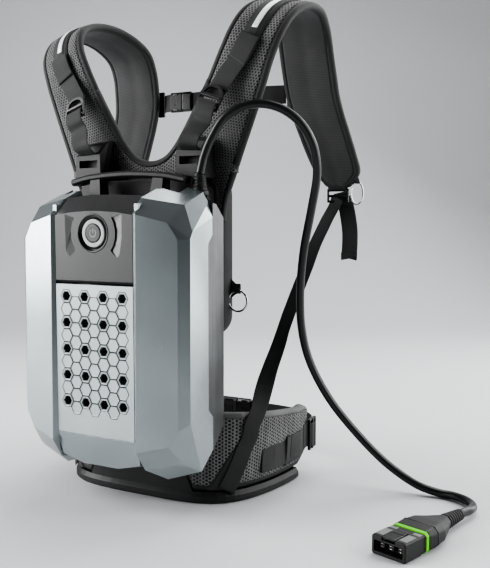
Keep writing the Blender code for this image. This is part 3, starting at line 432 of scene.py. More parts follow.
def circle(count):
    """Cosine and sine at even steps, once round."""
    turns = [2 * math.pi * k / count for k in range(count)]
    return [(math.cos(a), math.sin(a)) for a in turns]


def rounding(distance, radius):
    """Share of the full thickness at a distance from a rounded edge."""
    return math.sqrt(max(1 - (1 - min(distance / radius, 1.0)) ** 2, 0.0))


def add_to_scene(name, data):
    added = bpy.data.objects.new(name, data)
    bpy.context.scene.collection.objects.link(added)
    return added


def make(name, mesh, looks, body="pack", slot=None, replaces=(), flat=False):
    """An object from a mesh that rides on a body."""
    piece = add_to_scene(name, mesh)
    for look in looks:
        mesh.materials.append(look)
    for face in mesh.polygons:
        face.use_smooth = not flat
    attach(piece, body)
    if replaces:
        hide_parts(*replaces)
    return piece


def skin(name, rows, looks, picks=None, anchor=0, wrap=True, caps=True, **more):
    """A skin through rows of points. Its cloth map holds distances in metres around and along.

    Picks holds the number of each face's look round a row; anchor is where the distances start.
    """
    rows = [[Vector(p) for p in row] for row in rows]
    count = len(rows[0])
    around = []
    for row in rows:
        run = arc_lengths(row + row[:1])
        around.append([u - run[anchor] for u in run])
    along = arc_lengths([row[anchor] for row in rows])
    faces, marks, chosen = [], [], []
    for i in range(len(rows) - 1):
        for j in range(count if wrap else count - 1):
            k = (j + 1) % count
            faces.append((i * count + j, i * count + k, (i + 1) * count + k, (i + 1) * count + j))
            marks += [(around[i][j], along[i]), (around[i][j + 1], along[i]),
                      (around[i + 1][j + 1], along[i + 1]), (around[i + 1][j], along[i + 1])]
            chosen.append(picks[j] if picks else 0)
    if caps and wrap:
        for i, order in ((0, range(count - 1, -1, -1)), (len(rows) - 1, range(count))):
            faces.append(tuple(i * count + j for j in order))
            marks += [(rows[i][j] - rows[i][0]).xz for j in order]
            chosen.append(picks[0] if picks else 0)
    mesh = bpy.data.meshes.new(name)
    mesh.from_pydata([tuple(p) for row in rows for p in row], [], faces)
    layer = mesh.uv_layers.new(name="cloth")
    for corner, uv in zip(layer.data, marks):
        corner.uv = uv
    for face, pick in zip(mesh.polygons, chosen):
        face.material_index = pick
    piece = make(name, mesh, looks, **more)
    outward(mesh)
    return piece


def outward(mesh):
    """Turn all faces outward."""
    shape = bmesh.new()
    shape.from_mesh(mesh)
    bmesh.ops.recalc_face_normals(shape, faces=shape.faces)
    shape.to_mesh(mesh)
    shape.free()


def ribbon_rows(points, across, width, thickness, ripple):
    """Rows of a webbing section with rounded selvedges; across is a list along the points."""
    rows = []
    half, thick = width / 2, thickness / 2
    section = [(-half, 0.0), (-half + thick * 0.4, thick * 0.85), (-half + thick * 1.6, thick)]
    section += [(half * s, thick) for s in (-0.5, 0.0, 0.5)]
    section += [(half - thick * 1.6, thick), (half - thick * 0.4, thick * 0.85), (half, 0.0)]
    section += [(s, -t) for s, t in reversed(section[1:-1])]
    for i, point in enumerate(points):
        along = heading(points, i)
        place = i / (len(points) - 1) * (len(across) - 1)
        first = min(int(place), len(across) - 2)
        side = Vector(across[first]).lerp(Vector(across[first + 1]), place - first)
        side = (side - along * side.dot(along)).normalized()
        up = along.cross(side).normalized()
        wave = ripple * noise.noise(Vector(point) * 34.0)
        rows.append([point + side * s + up * (t + wave) for s, t in section])
    return rows


def ribbon(name, route, across, width, count, thickness=0.0016, side=1, ripple=0.0, **more):
    points = [flip(p, side) for p in smooth(route, count)]
    rows = ribbon_rows(points, [flip(a, side) for a in across], width, thickness, ripple)
    return skin(name, rows, [WEB], slot="webbing", **more)


# A stitch's length, the gap to the next, and half its thickness
STITCH_LENGTH, STITCH_GAP, STITCH_SIZE = 0.0030, 0.0016, 0.00042
STITCH_FACES = ((0, 2, 5), (0, 5, 3), (5, 2, 4), (5, 4, 3), (4, 2, 6), (4, 6, 3), (6, 2, 1),
                (6, 1, 3), (0, 3, 2), (3, 1, 2))


def stitches(name, points, normals):
    """Short thread loops laid along a line."""
    lengths = arc_lengths(points)
    verts, faces = [], []
    start = STITCH_GAP
    while start + STITCH_LENGTH < lengths[-1]:
        a, span = at_length(points, lengths, start)
        b, _ = at_length(points, lengths, start + STITCH_LENGTH)
        lift = normals[span] * STITCH_SIZE
        side = (b - a).normalized().cross(normals[span]).normalized() * STITCH_SIZE * 0.9
        middle = (a + b) / 2
        faces += [tuple(len(verts) + corner for corner in face) for face in STITCH_FACES]
        verts += [a - lift, b - lift, middle + side, middle - side, middle + lift * 1.3,
                  a.lerp(b, 0.2) + lift * 0.9, a.lerp(b, 0.8) + lift * 0.9]
        start += STITCH_LENGTH + STITCH_GAP
    mesh = bpy.data.meshes.new(name)
    mesh.from_pydata([tuple(v) for v in verts], [], faces)
    mesh.uv_layers.new(name="cloth")
    return make(name, mesh, [THREAD])


def bridge(shape, rings):
    """Faces between each closed ring of points and the next."""
    rows = [[shape.verts.new(p) for p in ring] for ring in rings]
    count = len(rows[0])
    for a, b in zip(rows, rows[1:]):
        for k in range(count):
            n = (k + 1) % count
            shape.faces.new((a[k], a[n], b[n], b[k]))
    return rows


def loft_shape(rings):
    """A closed form through rings of points."""
    shape = bmesh.new()
    rows = bridge(shape, rings)
    shape.faces.new(rows[0])
    shape.faces.new(list(reversed(rows[-1])))
    return shape


def solid(name, shape, look, **more):
    bmesh.ops.recalc_face_normals(shape, faces=shape.faces)
    mesh = bpy.data.meshes.new(name)
    shape.to_mesh(mesh)
    shape.free()
    mesh.uv_layers.new(name="cloth")
    return make(name, mesh, [look], **more)


def add_block(shape, middle, sizes, turn=None):
    made = bmesh.ops.create_cube(shape, size=1.0)["verts"]
    bmesh.ops.scale(shape, verts=made, vec=sizes)
    if turn is not None:
        bmesh.ops.rotate(shape, verts=made, matrix=turn)
    bmesh.ops.translate(shape, verts=made, vec=middle)


def blocks(name, places, look, bevel, segments=3, turn=None, side=1, **more):
    """One piece of several blocks, given as (middle, sizes) pairs, with rounded edges."""
    shape = bmesh.new()
    for middle, sizes in places:
        add_block(shape, middle, sizes, turn)
    for vert in shape.verts:
        vert.co = flip(vert.co, side)
    piece = solid(name, shape, look, **more)
    if bevel:
        add_bevel(piece, bevel, segments)
        add_normals(piece)
    return piece


RING_WIRE = 0.0015


def loop_wire(name, centre, normal, half_width, half_height, **more):
    """A smooth steel loop, upright in its own plane."""
    normal = Vector(normal).normalized()
    level = Vector((0, 0, 1)).cross(normal).normalized()
    rows = []
    for k in range(57):
        angle = 2 * math.pi * k / 56
        away = level * half_height * math.cos(angle)
        away = (away + Vector((0, 0, half_width * math.sin(angle)))).normalized()
        point = Vector(centre) + level * half_width * math.cos(angle)
        point = point + Vector((0, 0, half_height * math.sin(angle)))
        rows.append([point + (away * c + normal * s) * RING_WIRE for c, s in circle(14)])
    return skin(name, rows, [STEEL], caps=False, slot="steel", **more)


# Camera, floor and light

CAMERA_PLACE = (0.6777, -1.0798, 0.3984)
CAMERA_TILT, CAMERA_HEADING = math.radians(85.645), math.radians(28.09)
LIGHT_AIM = Vector((0.0, -0.05, 0.36))
LIGHTS = (
    # Name, place, width and height, power in watts
    ("key", (-1.7, -1.2, 1.1), (1.2, 2.0), 72.0),
    ("fill", (-1.1, -2.2, 0.7), (1.1, 1.6), 11.0),
    ("side", (2.1, 0.3, 0.9), (0.9, 2.0), 36.0),
    ("rim", (1.25, 1.35, 0.6), (0.9, 1.5), 15.0),
    ("top", (0.1, 0.7, 2.3), (1.8, 1.2), 28.0),
    ("back", (0.6, 1.9, 1.6), (1.6, 1.2), 22.0),
)
# The floor's half width, where it starts and bends up, the bend's radius, and how high it ends
FLOOR_HALF, FLOOR_START, FLOOR_BEND, FLOOR_RADIUS, FLOOR_TOP = 6.0, -4.0, 1.6, 1.2, 4.0
# The floor lies this far below zero, so that nothing that rests there flickers
FLOOR_DROP = 0.0004
WORLD_COLOUR, WORLD_STRENGTH = (0.86, 0.89, 0.93, 1.0), 0.055


def add_floor():
    """A floor square to the camera, which curves up behind the object."""
    bends = [math.radians(9 * k) for k in range(1, 11)]
    profile = [(FLOOR_START, 0.0), (FLOOR_BEND, 0.0)]
    profile += [(FLOOR_BEND + math.sin(a) * FLOOR_RADIUS, FLOOR_RADIUS - math.cos(a) * FLOOR_RADIUS)
                for a in bends]
    profile.append((FLOOR_BEND + FLOOR_RADIUS, FLOOR_TOP))
    turn = Matrix.Rotation(CAMERA_HEADING, 4, "Z")
    verts = [turn @ Vector((x, y, z - FLOOR_DROP)) for y, z in profile
             for x in (-FLOOR_HALF, FLOOR_HALF)]
    faces = [(2 * i, 2 * i + 1, 2 * i + 3, 2 * i + 2) for i in range(len(profile) - 1)]
    mesh = bpy.data.meshes.new("floor")
    mesh.from_pydata([tuple(v) for v in verts], [], faces)
    for face in mesh.polygons:
        face.use_smooth = True
    mesh.materials.append(Graph("floor", (0.60, 0.61, 0.62), 0.6).material)
    add_to_scene("floor", mesh)


def set_stage():
    scene = bpy.context.scene
    lens = bpy.data.cameras.new("camera")
    lens.lens = 50.0
    lens.sensor_width = 36.0
    lens.clip_start = 0.02
    lens.clip_end = 50.0
    scene.camera = add_to_scene("camera", lens)
    scene.camera.location = CAMERA_PLACE
    scene.camera.rotation_euler = (CAMERA_TILT, 0.0, CAMERA_HEADING)
    add_floor()
    scene.world = bpy.data.worlds.new("studio")
    scene.world.use_nodes = True
    background = scene.world.node_tree.nodes["Background"]
    background.inputs["Color"].default_value = WORLD_COLOUR
    background.inputs["Strength"].default_value = WORLD_STRENGTH
    for name, place, size, power in LIGHTS:
        light = bpy.data.lights.new(name, "AREA")
        light.shape = "RECTANGLE"
        light.size, light.size_y = size
        light.energy = power
        lamp = add_to_scene(name, light)
        lamp.location = place
        lamp.rotation_euler = (LIGHT_AIM - Vector(place)).to_track_quat("-Z", "Y").to_euler()
    scene.view_settings.view_transform = "AgX"
    scene.view_settings.look = "AgX - High Contrast"


# Cord and plug

CORD_RADIUS = 0.006
# The plug's front on the floor, and its directions back along the cord and sideways
PLUG_FRONT = Vector((0.398, -0.194, 0.0))
PLUG_BACK = Vector((0.30, 0.954, 0.0)).normalized()
PLUG_SIDE = Vector((PLUG_BACK.y, -PLUG_BACK.x, 0.0))
PLUG_TURN = Matrix.Rotation(math.atan2(PLUG_SIDE.y, PLUG_SIDE.x), 3, "Z")
# Height of the plug's body, and height of the cord's centre line in it
PLUG_HIGH, PLUG_MIDDLE = 0.0245, 0.0115
# Distances behind the plug's front where the cord enters the strain relief, and where it ends
CORD_ENTERS, CORD_ENDS = 0.1660, 0.1450
CORD_ROUTE = [
    (0.1122, -0.1505, 0.4681), (0.1187, -0.1500, 0.4915), (0.1290, -0.1475, 0.5150),
    (0.1450, -0.1430, 0.5400), (0.1660, -0.1360, 0.5540), (0.1880, -0.1270, 0.5590),
    (0.2080, -0.1180, 0.5560), (0.2250, -0.1070, 0.5470), (0.2400, -0.0960, 0.5310),
    (0.2500, -0.0860, 0.5090), (0.2530, -0.0780, 0.4870), (0.2500, -0.0690, 0.4600),
    (0.2370, -0.0580, 0.4150), (0.2210, -0.0460, 0.3600), (0.2110, -0.0350, 0.3020),
    (0.2080, -0.0220, 0.2440), (0.2160, -0.0080, 0.1920), (0.2400, 0.0090, 0.1370),
    (0.2780, 0.0240, 0.0860), (0.3200, 0.0350, 0.0440), (0.3620, 0.0440, 0.0160),
    (0.3950, 0.0480, 0.0066), (0.4200, 0.0450, 0.0064), (0.4420, 0.0310, 0.0068),
    (0.4540, 0.0100, 0.0080), (0.4550, -0.0120, 0.0105),
]


def plug_point(back, across, height):
    """A point by its distance behind the plug's front, its distance sideways and its height."""
    return PLUG_FRONT + PLUG_BACK * back + PLUG_SIDE * across + Vector((0, 0, height))


def power_cord():
    """The cord along its route, on into the plug's strain relief."""
    entry = plug_point(CORD_ENTERS, 0.0, PLUG_MIDDLE)
    route = [Vector(p) for p in CORD_ROUTE] + [entry + PLUG_BACK * 0.006, entry]
    points = smooth(route + [plug_point(CORD_ENDS, 0.0, PLUG_MIDDLE)], 210)
    curve = bpy.data.curves.new("cord", "CURVE")
    curve.dimensions = "3D"
    curve.bevel_depth = CORD_RADIUS
    curve.bevel_resolution = 7
    curve.use_fill_caps = True
    spline = curve.splines.new("POLY")
    spline.points.add(len(points) - 1)
    for target, point in zip(spline.points, points):
        target.co = (*point, 1.0)
    spline.use_smooth = True
    curve.materials.append(RUBBER)
    cord = add_to_scene("cord", curve)
    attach(cord, "pack")
    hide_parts("power_cable")
    return cord, points[0], arc_lengths(points)[-1]


def strain_relief():
    """Ribbed taper behind the plug."""
    profile = []
    for k in range(7):
        start = 0.1263 + 0.0055 * k
        radius = 0.0102 - 0.00042 * k
        profile += [(start, radius - 0.0004), (start + 0.0004, radius), (start + 0.0029, radius),
                    (start + 0.0033, radius - 0.0005), (start + 0.0035, radius - 0.0024),
                    (start + 0.0050, radius - 0.0024)]
    profile.append((0.1656, 0.0063))
    rings = [[plug_point(back, radius * c, PLUG_MIDDLE + radius * s) for c, s in circle(28)]
             for back, radius in profile]
    return skin("plug_strain_relief", rings, [BLACK], replaces=["plug_relief"], slot="black")


def plug_details():
    """Tongues and contacts inside the socket, pads beside the latch, and the grip's seam."""
    ways = (-0.0135, 0.0, 0.0135)
    inner = blocks("plug_inner_block",
                   [(plug_point(0.0125, across, 0.0113), (0.0082, 0.0108, 0.0085)) for across in ways],
                   SATIN, 0.0006, turn=PLUG_TURN, slot="black")
    contacts = blocks("plug_contacts",
                      [(plug_point(0.0070, across, 0.0113 + lift), (0.0052, 0.0012, 0.0010))
                       for across in ways for lift in (-0.0018, 0.0018)],
                      NICKEL, 0.0, turn=PLUG_TURN, slot="nickel")
    pads = blocks("plug_pads",
                  [(plug_point(back, across, PLUG_HIGH + lift), (0.0108, length, 0.0006))
                   for across in (-0.0168, 0.0168)
                   for back, lift, length in ((0.0160, 0.0002, 0.0210), (0.0345, -0.0004, 0.0100))],
                  GREY, 0.0003, turn=PLUG_TURN, slot="panel")
    rows = []
    for back, half, high in ((0.0660, 0.0278, 0.0271), (0.0668, 0.0280, 0.0273),
                             (0.0676, 0.0278, 0.0271)):
        corner = 0.0062
        pairs = ((-half + corner, 0.0), (half - corner, 0.0), (half, corner), (half, high - corner),
                 (half - corner, high), (-half + corner, high), (-half, high - corner),
                 (-half, corner))
        rows.append([plug_point(back, a, h) for a, h in pairs])
    return [inner, contacts, pads, skin("plug_seam", rows, [SATIN], slot="black")]


# Middle of the cable gland's foot on the case
BOOT_BASE = Vector((0.112, -0.1505, 0.4373))


def gland_boot():
    """Strain relief where the cord leaves the case: a ribbed cone that leans with the cord."""
    profile = [(0.0118, 0.0), (0.0121, 0.0006), (0.0121, 0.0054), (0.0117, 0.0062),
               (0.0106, 0.0072)]
    for k in range(5):
        start = 0.0086 + 0.0040 * k
        radius = 0.0102 - 0.00042 * k
        profile += [(radius, start), (radius, start + 0.0022), (radius - 0.0010, start + 0.0027),
                    (radius - 0.0010, start + 0.0036)]
    profile += [(0.0078, 0.0290), (0.0068, 0.0302)]
    rows = []
    for radius, height in profile:
        lean = 0.27 * ease((height - 0.016) / 0.014)
        rows.append([BOOT_BASE + Vector((radius * c, radius * s, height - radius * c * lean))
                     for c, s in circle(32)])
    skin("cord_boot", rows, [BLACK], replaces=["cable_gland"], slot="black")


# Case details

# Side of a hexagon, rise from one to the next, height of the top row, and the grille's plane
HEX_SIDE = 0.0105
HEX_PITCH = math.sqrt(3) * HEX_SIDE
HEX_TOP = 0.300
CASE_FRONT = -0.243


def honeycomb_cells():
    """Centres of every outlined hexagon on the grille, in seven staggered columns of nine."""
    return [((column - 3) * 1.5 * HEX_SIDE, HEX_TOP - (row + 0.5 * (column % 2)) * HEX_PITCH)
            for column in range(7) for row in range(9)]


def hex_ring(shape, centre, steps):
    """Faces round a hexagon, through (radius, height in front of the grille) steps."""
    bridge(shape, [[(centre[0] + radius * c, CASE_FRONT - lift, centre[1] + radius * s)
                    for c, s in circle(6)] for radius, lift in steps])


def grille_cells():
    """The honeycomb: a dark ring of painted shade round each cell, where the cell's groove would lie
    in shadow; inside it a lip that catches the light.
    """
    painted_groove_shade, lips = bmesh.new(), bmesh.new()
    inside = HEX_SIDE * 0.905
    for centre in honeycomb_cells():
        # A dark ring just in front of the grille: painted shade for the groove round each cell
        hex_ring(painted_groove_shade, centre, ((HEX_SIDE, 0.00004), (inside, 0.00004)))
        hex_ring(lips, centre, ((inside, 0.00004), (HEX_SIDE * 0.895, 0.00040),
                                (HEX_SIDE * 0.865, 0.00040), (HEX_SIDE * 0.820, 0.00002)))
    solid("cell_groove_painted_shade", painted_groove_shade, SHADOW, slot="shell", flat=True)
    solid("cell_lips", lips, GRILLE, slot="shell", flat=True)


def hex_rims():
    """A thin raised rim round each open hexagon, in five rows of four."""
    shape = bmesh.new()
    for row in range(5):
        for column in range(4):
            centre = ((column - 1.5) * 3 * HEX_SIDE, HEX_TOP - row * 2 * HEX_PITCH)
            hex_ring(shape, centre, ((0.0078, -0.0001), (0.0076, 0.0004), (0.0071, 0.0004),
                                     (0.0069, -0.0030)))
    solid("hexagon_rims", shape, GRILLE, slot="shell", flat=True)


def button_symbol():
    """The usual power symbol, raised on the button: an open ring and a short bar."""
    low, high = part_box("power_button")
    middle = (low + high) / 2
    rings = []
    for k in range(23):
        angle = math.radians(122 + 296 * k / 22)
        rings.append([(middle.x + radius * math.cos(angle), low.y + depth,
                       middle.z + radius * math.sin(angle))
                      for radius, depth in ((0.0046, 0.0002), (0.0046, -0.0003), (0.0056, -0.0003),
                                            (0.0056, 0.0002))])
    shape = loft_shape(rings)
    add_block(shape, Vector((middle.x, low.y, middle.z + 0.0038)), (0.0010, 0.0006, 0.0060))
    solid("button_symbol", shape, INK, body="button", slot="light_guide", flat=True)


def panel_gap_shade():
    """A satin black strip in the gap between the grille and the control panel: painted shade under the
    panel's lip.
    """
    blocks("panel_gap_shade", [(Vector((0.0, -0.2425, 0.3171)), (0.1300, 0.0012, 0.0009))], SATIN, 0.0,
           slot="black")


# Shoulder straps and neck

# The plane that the straps leave the yoke in
STRAP_PLANE = -0.103
# A strap's inner and outer edge at stations from the yoke, over the shoulder, to the tip
STRAP_EDGES = [
    ((0.030, STRAP_PLANE, 0.5005), (0.147, STRAP_PLANE, 0.4785)),
    ((0.047, STRAP_PLANE, 0.520), (0.155, STRAP_PLANE, 0.500)),
    ((0.072, STRAP_PLANE, 0.560), (0.170, STRAP_PLANE, 0.538)),
    ((0.095, STRAP_PLANE, 0.600), (0.186, STRAP_PLANE, 0.580)),
    ((0.115, STRAP_PLANE, 0.640), (0.200, STRAP_PLANE, 0.620)),
    ((0.130, -0.099, 0.672), (0.212, -0.096, 0.654)),
    ((0.140, -0.082, 0.698), (0.219, -0.075, 0.682)),
    ((0.146, -0.053, 0.714), (0.223, -0.045, 0.700)),
    ((0.146, -0.018, 0.722), (0.224, -0.010, 0.709)),
    ((0.139, 0.018, 0.720), (0.222, 0.024, 0.709)),
    ((0.129, 0.050, 0.708), (0.217, 0.053, 0.699)),
    ((0.122, 0.073, 0.690), (0.213, 0.074, 0.683)),
    ((0.120, 0.086, 0.663), (0.212, 0.086, 0.659)),
    ((0.121, 0.094, 0.635), (0.214, 0.093, 0.631)),
    ((0.124, 0.100, 0.605), (0.217, 0.098, 0.601)),
    ((0.132, 0.104, 0.575), (0.224, 0.101, 0.571)),
    ((0.143, 0.107, 0.545), (0.233, 0.104, 0.541)),
    ((0.156, 0.110, 0.512), (0.243, 0.106, 0.508)),
    ((0.170, 0.112, 0.483), (0.249, 0.108, 0.480)),
    ((0.186, 0.113, 0.463), (0.236, 0.110, 0.461)),
]
# A point inside the arch, so that a strap's outer face can be told from its inner one
ARCH_MIDDLE = Vector((0.170, -0.005, 0.560))
# Frames from one station to the next
PER_SPAN = 8


def strap_frames():
    """Middle, half width and outward direction along a strap."""
    inner = catmull([a for a, b in STRAP_EDGES], PER_SPAN)
    outer = catmull([b for a, b in STRAP_EDGES], PER_SPAN)
    centres = [(a + b) / 2 for a, b in zip(inner, outer)]
    frames = []
    for i, (a, b) in enumerate(zip(inner, outer)):
        across = (b - a) / 2
        up = heading(centres, i).cross(across).normalized()
        if up.dot(centres[i] - ARCH_MIDDLE) < 0:
            up = -up
        frames.append((centres[i], across, up))
    return frames


FRAMES = strap_frames()
# Where a pad's section has points: distances from its edge, then shares of the way to its middle
PAD_EDGE = (0.0, 0.0004, 0.0014, 0.0030, 0.0050, 0.0070, 0.0082, 0.0089, 0.0096, 0.0106, 0.0125)
PAD_INNER = (0.16, 0.33, 0.50, 0.62, 0.70, 0.80, 1.0)
# Width of the binding round a pad, and the radius of the pad's edge
BINDING_WIDE, EDGE_ROUND = 0.0089, 0.0055
# Half width below which a strap's section is only scaled, so that it keeps its points
LEAST_HALF = 0.0240


def pad_profile(e, half, thick, puff, dip, flat_to):
    """Height of a pad's face at distance e from its edge."""
    height = thick * rounding(e, EDGE_ROUND)
    height -= dip * math.exp(-((e - BINDING_WIDE) / 0.0009) ** 2)
    span = half - flat_to - BINDING_WIDE
    t = (e - BINDING_WIDE) / max(span, 1e-6)
    if 0 < t < 1:
        height += puff * math.sin(math.pi * t) ** 0.8
    return height


def pad_section(half, thick_top, thick_low, puff_top, puff_low, flat_to):
    """Around the section: across, height, distance from the edge; and each face's look.

    The looks are 0 for the top's mesh, 1 for the binding and 2 for the lining.
    """
    start = PAD_EDGE[-1]
    places = list(PAD_EDGE) + [start + (half - start) * k for k in PAD_INNER]
    signed = [(-half + e, e) for e in places] + [(half - e, e) for e in reversed(places[:-1])]
    ring = [(s, pad_profile(e, half, thick_top, puff_top, 0.0012, flat_to), e) for s, e in signed]
    ring += [(s, -pad_profile(e, half, thick_low, puff_low, 0.0010, 0.0), e)
             for s, e in reversed(signed[1:-1])]
    kinds = []
    for j in range(len(ring)):
        e = (ring[j][2] + ring[(j + 1) % len(ring)][2]) / 2
        kinds.append(1 if e < BINDING_WIDE else (0 if j < len(signed) - 1 else 2))
    return ring, kinds, len(places) - 1


def shoulder_pad(side, name):
    """The padded strap, which narrows and thins into a rounded tip."""
    end, across, up = FRAMES[-1]
    along = heading([f[0] for f in FRAMES], len(FRAMES) - 1)
    stations = [(c, a, u, 1.0) for c, a, u in FRAMES]
    for step, narrow, thin in ((0.0025, 0.93, 0.80), (0.0045, 0.80, 0.50), (0.0055, 0.62, 0.15)):
        stations.append((end + along * step, across * narrow, up, thin))
    rows, kinds, anchor = [], None, 0
    for centre, across, up, thin in stations:
        half = max(across.length, LEAST_HALF)
        unit = across.normalized() * across.length / half
        ring, kinds, anchor = pad_section(half, 0.0054 * thin, 0.0056 * thin, 0.0011 * thin,
                                          0.0012 * thin, 0.0165)
        row = []
        for s, t, e in ring:
            point = centre + unit * s + up * t
            if e > 0.010:
                point = point + up * 0.00045 * noise.noise(point * 60.0)
            row.append(flip(point, side))
        rows.append(row)
    piece = skin("shoulder_pad_" + name, rows, PAD_LOOKS, picks=kinds, anchor=anchor,
                 slot="mesh_fabric", replaces=["shoulder_strap_" + name])


def strap_seams(side, name):
    """Seams beside the binding, on both faces of the strap."""
    for edge, edge_name in ((-1, "inner"), (1, "outer")):
        for lift, face_name in ((0.0053, "top"), (-0.0055, "under")):
            line = [flip(centre + across.normalized() * edge * (across.length - 0.0076) + up * lift,
                         side) for centre, across, up in FRAMES[2:-3]]
            normals = [flip(up * math.copysign(1, lift), side) for _, _, up in FRAMES[2:-3]]
            stitches("strap_seam_%s_%s_%s" % (name, edge_name, face_name), line, normals)


# Where a tip ring hangs in its loop
RING_HINGE = Vector((0.2426, 0.1120, 0.4649))


def ring_loop(side, name):
    """Sewn loop for the tip ring."""
    steps = ((-0.004, -0.0030, 0.020), (-0.001, -0.0036, 0.008), (0.0014, -0.0024, -0.0010),
             (0.0, 0.0, -0.0026), (-0.0014, 0.0024, -0.0010), (-0.004, 0.0022, 0.010),
             (-0.008, 0.0010, 0.020))
    ribbon("ring_loop_" + name, [RING_HINGE + Vector(step) for step in steps],
           [(0.88, 0.47, 0.0)] * 2, 0.0075, 26, 0.0011, side=side)


def pick_frames(first, last):
    """Frames between two stations of the strap's edge list."""
    return FRAMES[int(first * PER_SPAN):int(last * PER_SPAN) + 1]


def tape_on_strap(name, side, first, last, width, lift, thick, look, **more):
    """A tape on the strap's outer face, from one station to another."""
    half = width / 2
    section = ((-half, 0.0), (-half, thick * 0.6), (-half + 0.0007, thick), (-half * 0.5, thick),
               (0.0, thick), (half * 0.5, thick), (half - 0.0007, thick), (half, thick * 0.6),
               (half, 0.0))
    rows = [[flip(centre + across.normalized() * s + up * (lift + t), side) for s, t in section]
            for centre, across, up in pick_frames(first, last)]
    skin(name, rows, [look], **more)


def strap_tapes(side, name):
    tape_on_strap("strap_tape_" + name, side, 3.9, 18.0, 0.0300, 0.0052, 0.0022, BINDING,
                  slot="webbing", replaces=["strap_band_" + name])
    tape_on_strap("strap_tape_middle_" + name, side, 4.2, 17.8, 0.0150, 0.0070, 0.0010, WEB,
                  slot="webbing")
    tape_on_strap("reflective_back_" + name, side, 5.05, 8.9, 0.0085, 0.0078, 0.0007, REFLECT)
    tape_on_strap("reflective_front_" + name, side, 12.4, 15.6, 0.0085, 0.0078, 0.0007, REFLECT)
    chosen = pick_frames(4.2, 17.8)
    normals = [flip(up, side) for _, _, up in chosen]
    for edge, edge_name in ((-0.0128, "inner"), (0.0128, "outer")):
        line = [flip(centre + across.normalized() * edge + up * 0.0075, side)
                for centre, across, up in chosen]
        stitches("tape_seam_%s_%s" % (name, edge_name), line, normals)


def arch(half, middle):
    """A line in the straps' plane, from (x, z) pairs on one side and the height in the middle."""
    line = [(-x, STRAP_PLANE, z) for x, z in half] + [(0.0, STRAP_PLANE, middle)]
    return line + [(x, STRAP_PLANE, z) for x, z in reversed(half)]


def yoke_pad():
    """Panel below the neck that joins both straps."""
    top = catmull(arch(((0.1440, 0.4850), (0.090, 0.4950), (0.050, 0.5040), (0.030, 0.4995),
                        (0.014, 0.4925)), 0.4905), 10)
    shares = (0.0, 0.03, 0.1, 0.2, 0.35, 0.5, 0.65, 0.8, 1.0)
    around = [(-1, share) for share in shares] + [(1, share) for share in reversed(shares[1:])]
    rows = []
    for point in top:
        row = []
        for face, share in around:
            e = (point.z - 0.4700) * share
            thick = face * 0.0053 * rounding(e, 0.0045)
            row.append(Vector((point.x, STRAP_PLANE + thick, point.z - e)))
        rows.append(row)
    kinds = [0 if face < 0 else 2 for face, _ in around]
    piece = skin("yoke_pad", rows, PAD_LOOKS, picks=kinds, anchor=5, slot="mesh_fabric",
                 replaces=["harness_yoke"])


def neck_binding():
    """Folded tape from one strap's inner edge round the neck to the other's, with its seams."""
    line = smooth(arch(((0.0970, 0.6030), (0.0720, 0.5600), (0.0480, 0.5220), (0.0300, 0.5015),
                        (0.0150, 0.4935)), 0.4910), 90)
    width, half_thick = 0.0088, 0.0061
    section = [(width, 0.90), (width * 0.75, 1.0), (width * 0.35, 0.98), (width * 0.12, 0.74),
               (0.0, 0.36), (-0.0004, 0.0)]
    section += [(a, -b) for a, b in reversed(section[:-1])]
    rows, inward = [], []
    for i, point in enumerate(line):
        along = heading(line, i)
        into = Vector((along.z, 0.0, -along.x)).normalized()
        up = along.cross(into).normalized()
        inward.append(into)
        rows.append([point + into * a + up * b * half_thick for a, b in section])
    skin("neck_binding", rows, [BINDING], slot="webbing")
    for face, face_name in ((-1, "back"), (1, "front")):
        run = [p + n * 0.0073 + Vector((0, face * half_thick, 0)) for p, n in zip(line, inward)]
        stitches("neck_seam_" + face_name, run, [Vector((0, face, 0))] * len(run))


def strap_gusset(side, name):
    """The strap's root, which narrows beside the back cushion."""
    outer = smooth([(0.1492, 0, 0.4900), (0.1445, 0, 0.4720), (0.1370, 0, 0.4530),
                    (0.1300, 0, 0.4350), (0.1262, 0, 0.4170), (0.1250, 0, 0.4000)], 20)
    inner_edge = 0.0960
    ring, kinds, anchor = pad_section(LEAST_HALF, 0.0052, 0.0052, 0.0004, 0.0004, 0.0)
    rows = []
    for point in outer:
        half = (point.x - inner_edge) / 2
        rows.append([flip((point.x - half + s * half / LEAST_HALF, STRAP_PLANE - t, point.z), side)
                     for s, t, _ in ring])
    piece = skin("strap_root_" + name, rows, PAD_LOOKS, picks=kinds, anchor=anchor,
                 slot="mesh_fabric")


# Webbing and hardware of the straps

# Widths of the webbing at the shoulders, below them and at the hips
SHOULDER_WEB, LOWER_WEB, HIP_WEB = 0.030, 0.025, 0.038
# Height of the chest strap
CHEST_LEVEL = 0.610


def ladder_bars(name, side, centre, up, bars):
    """Round bars inside a ladder lock, as (height above the centre, radius) pairs."""
    up = flip(Vector(up).normalized(), side)
    face = Vector((0, -1, 0))
    face = (face - up * face.dot(up)).normalized()
    reach = up.cross(face) * 0.031 / 2
    shape = bmesh.new()
    for height, radius in bars:
        middle = flip(centre, side) + up * height
        bridge(shape, [[middle + reach * end + (up * c + face * s) * radius for c, s in circle(12)]
                       for end in (-1, 1)])
    solid(name, shape, SATIN, slot="black")


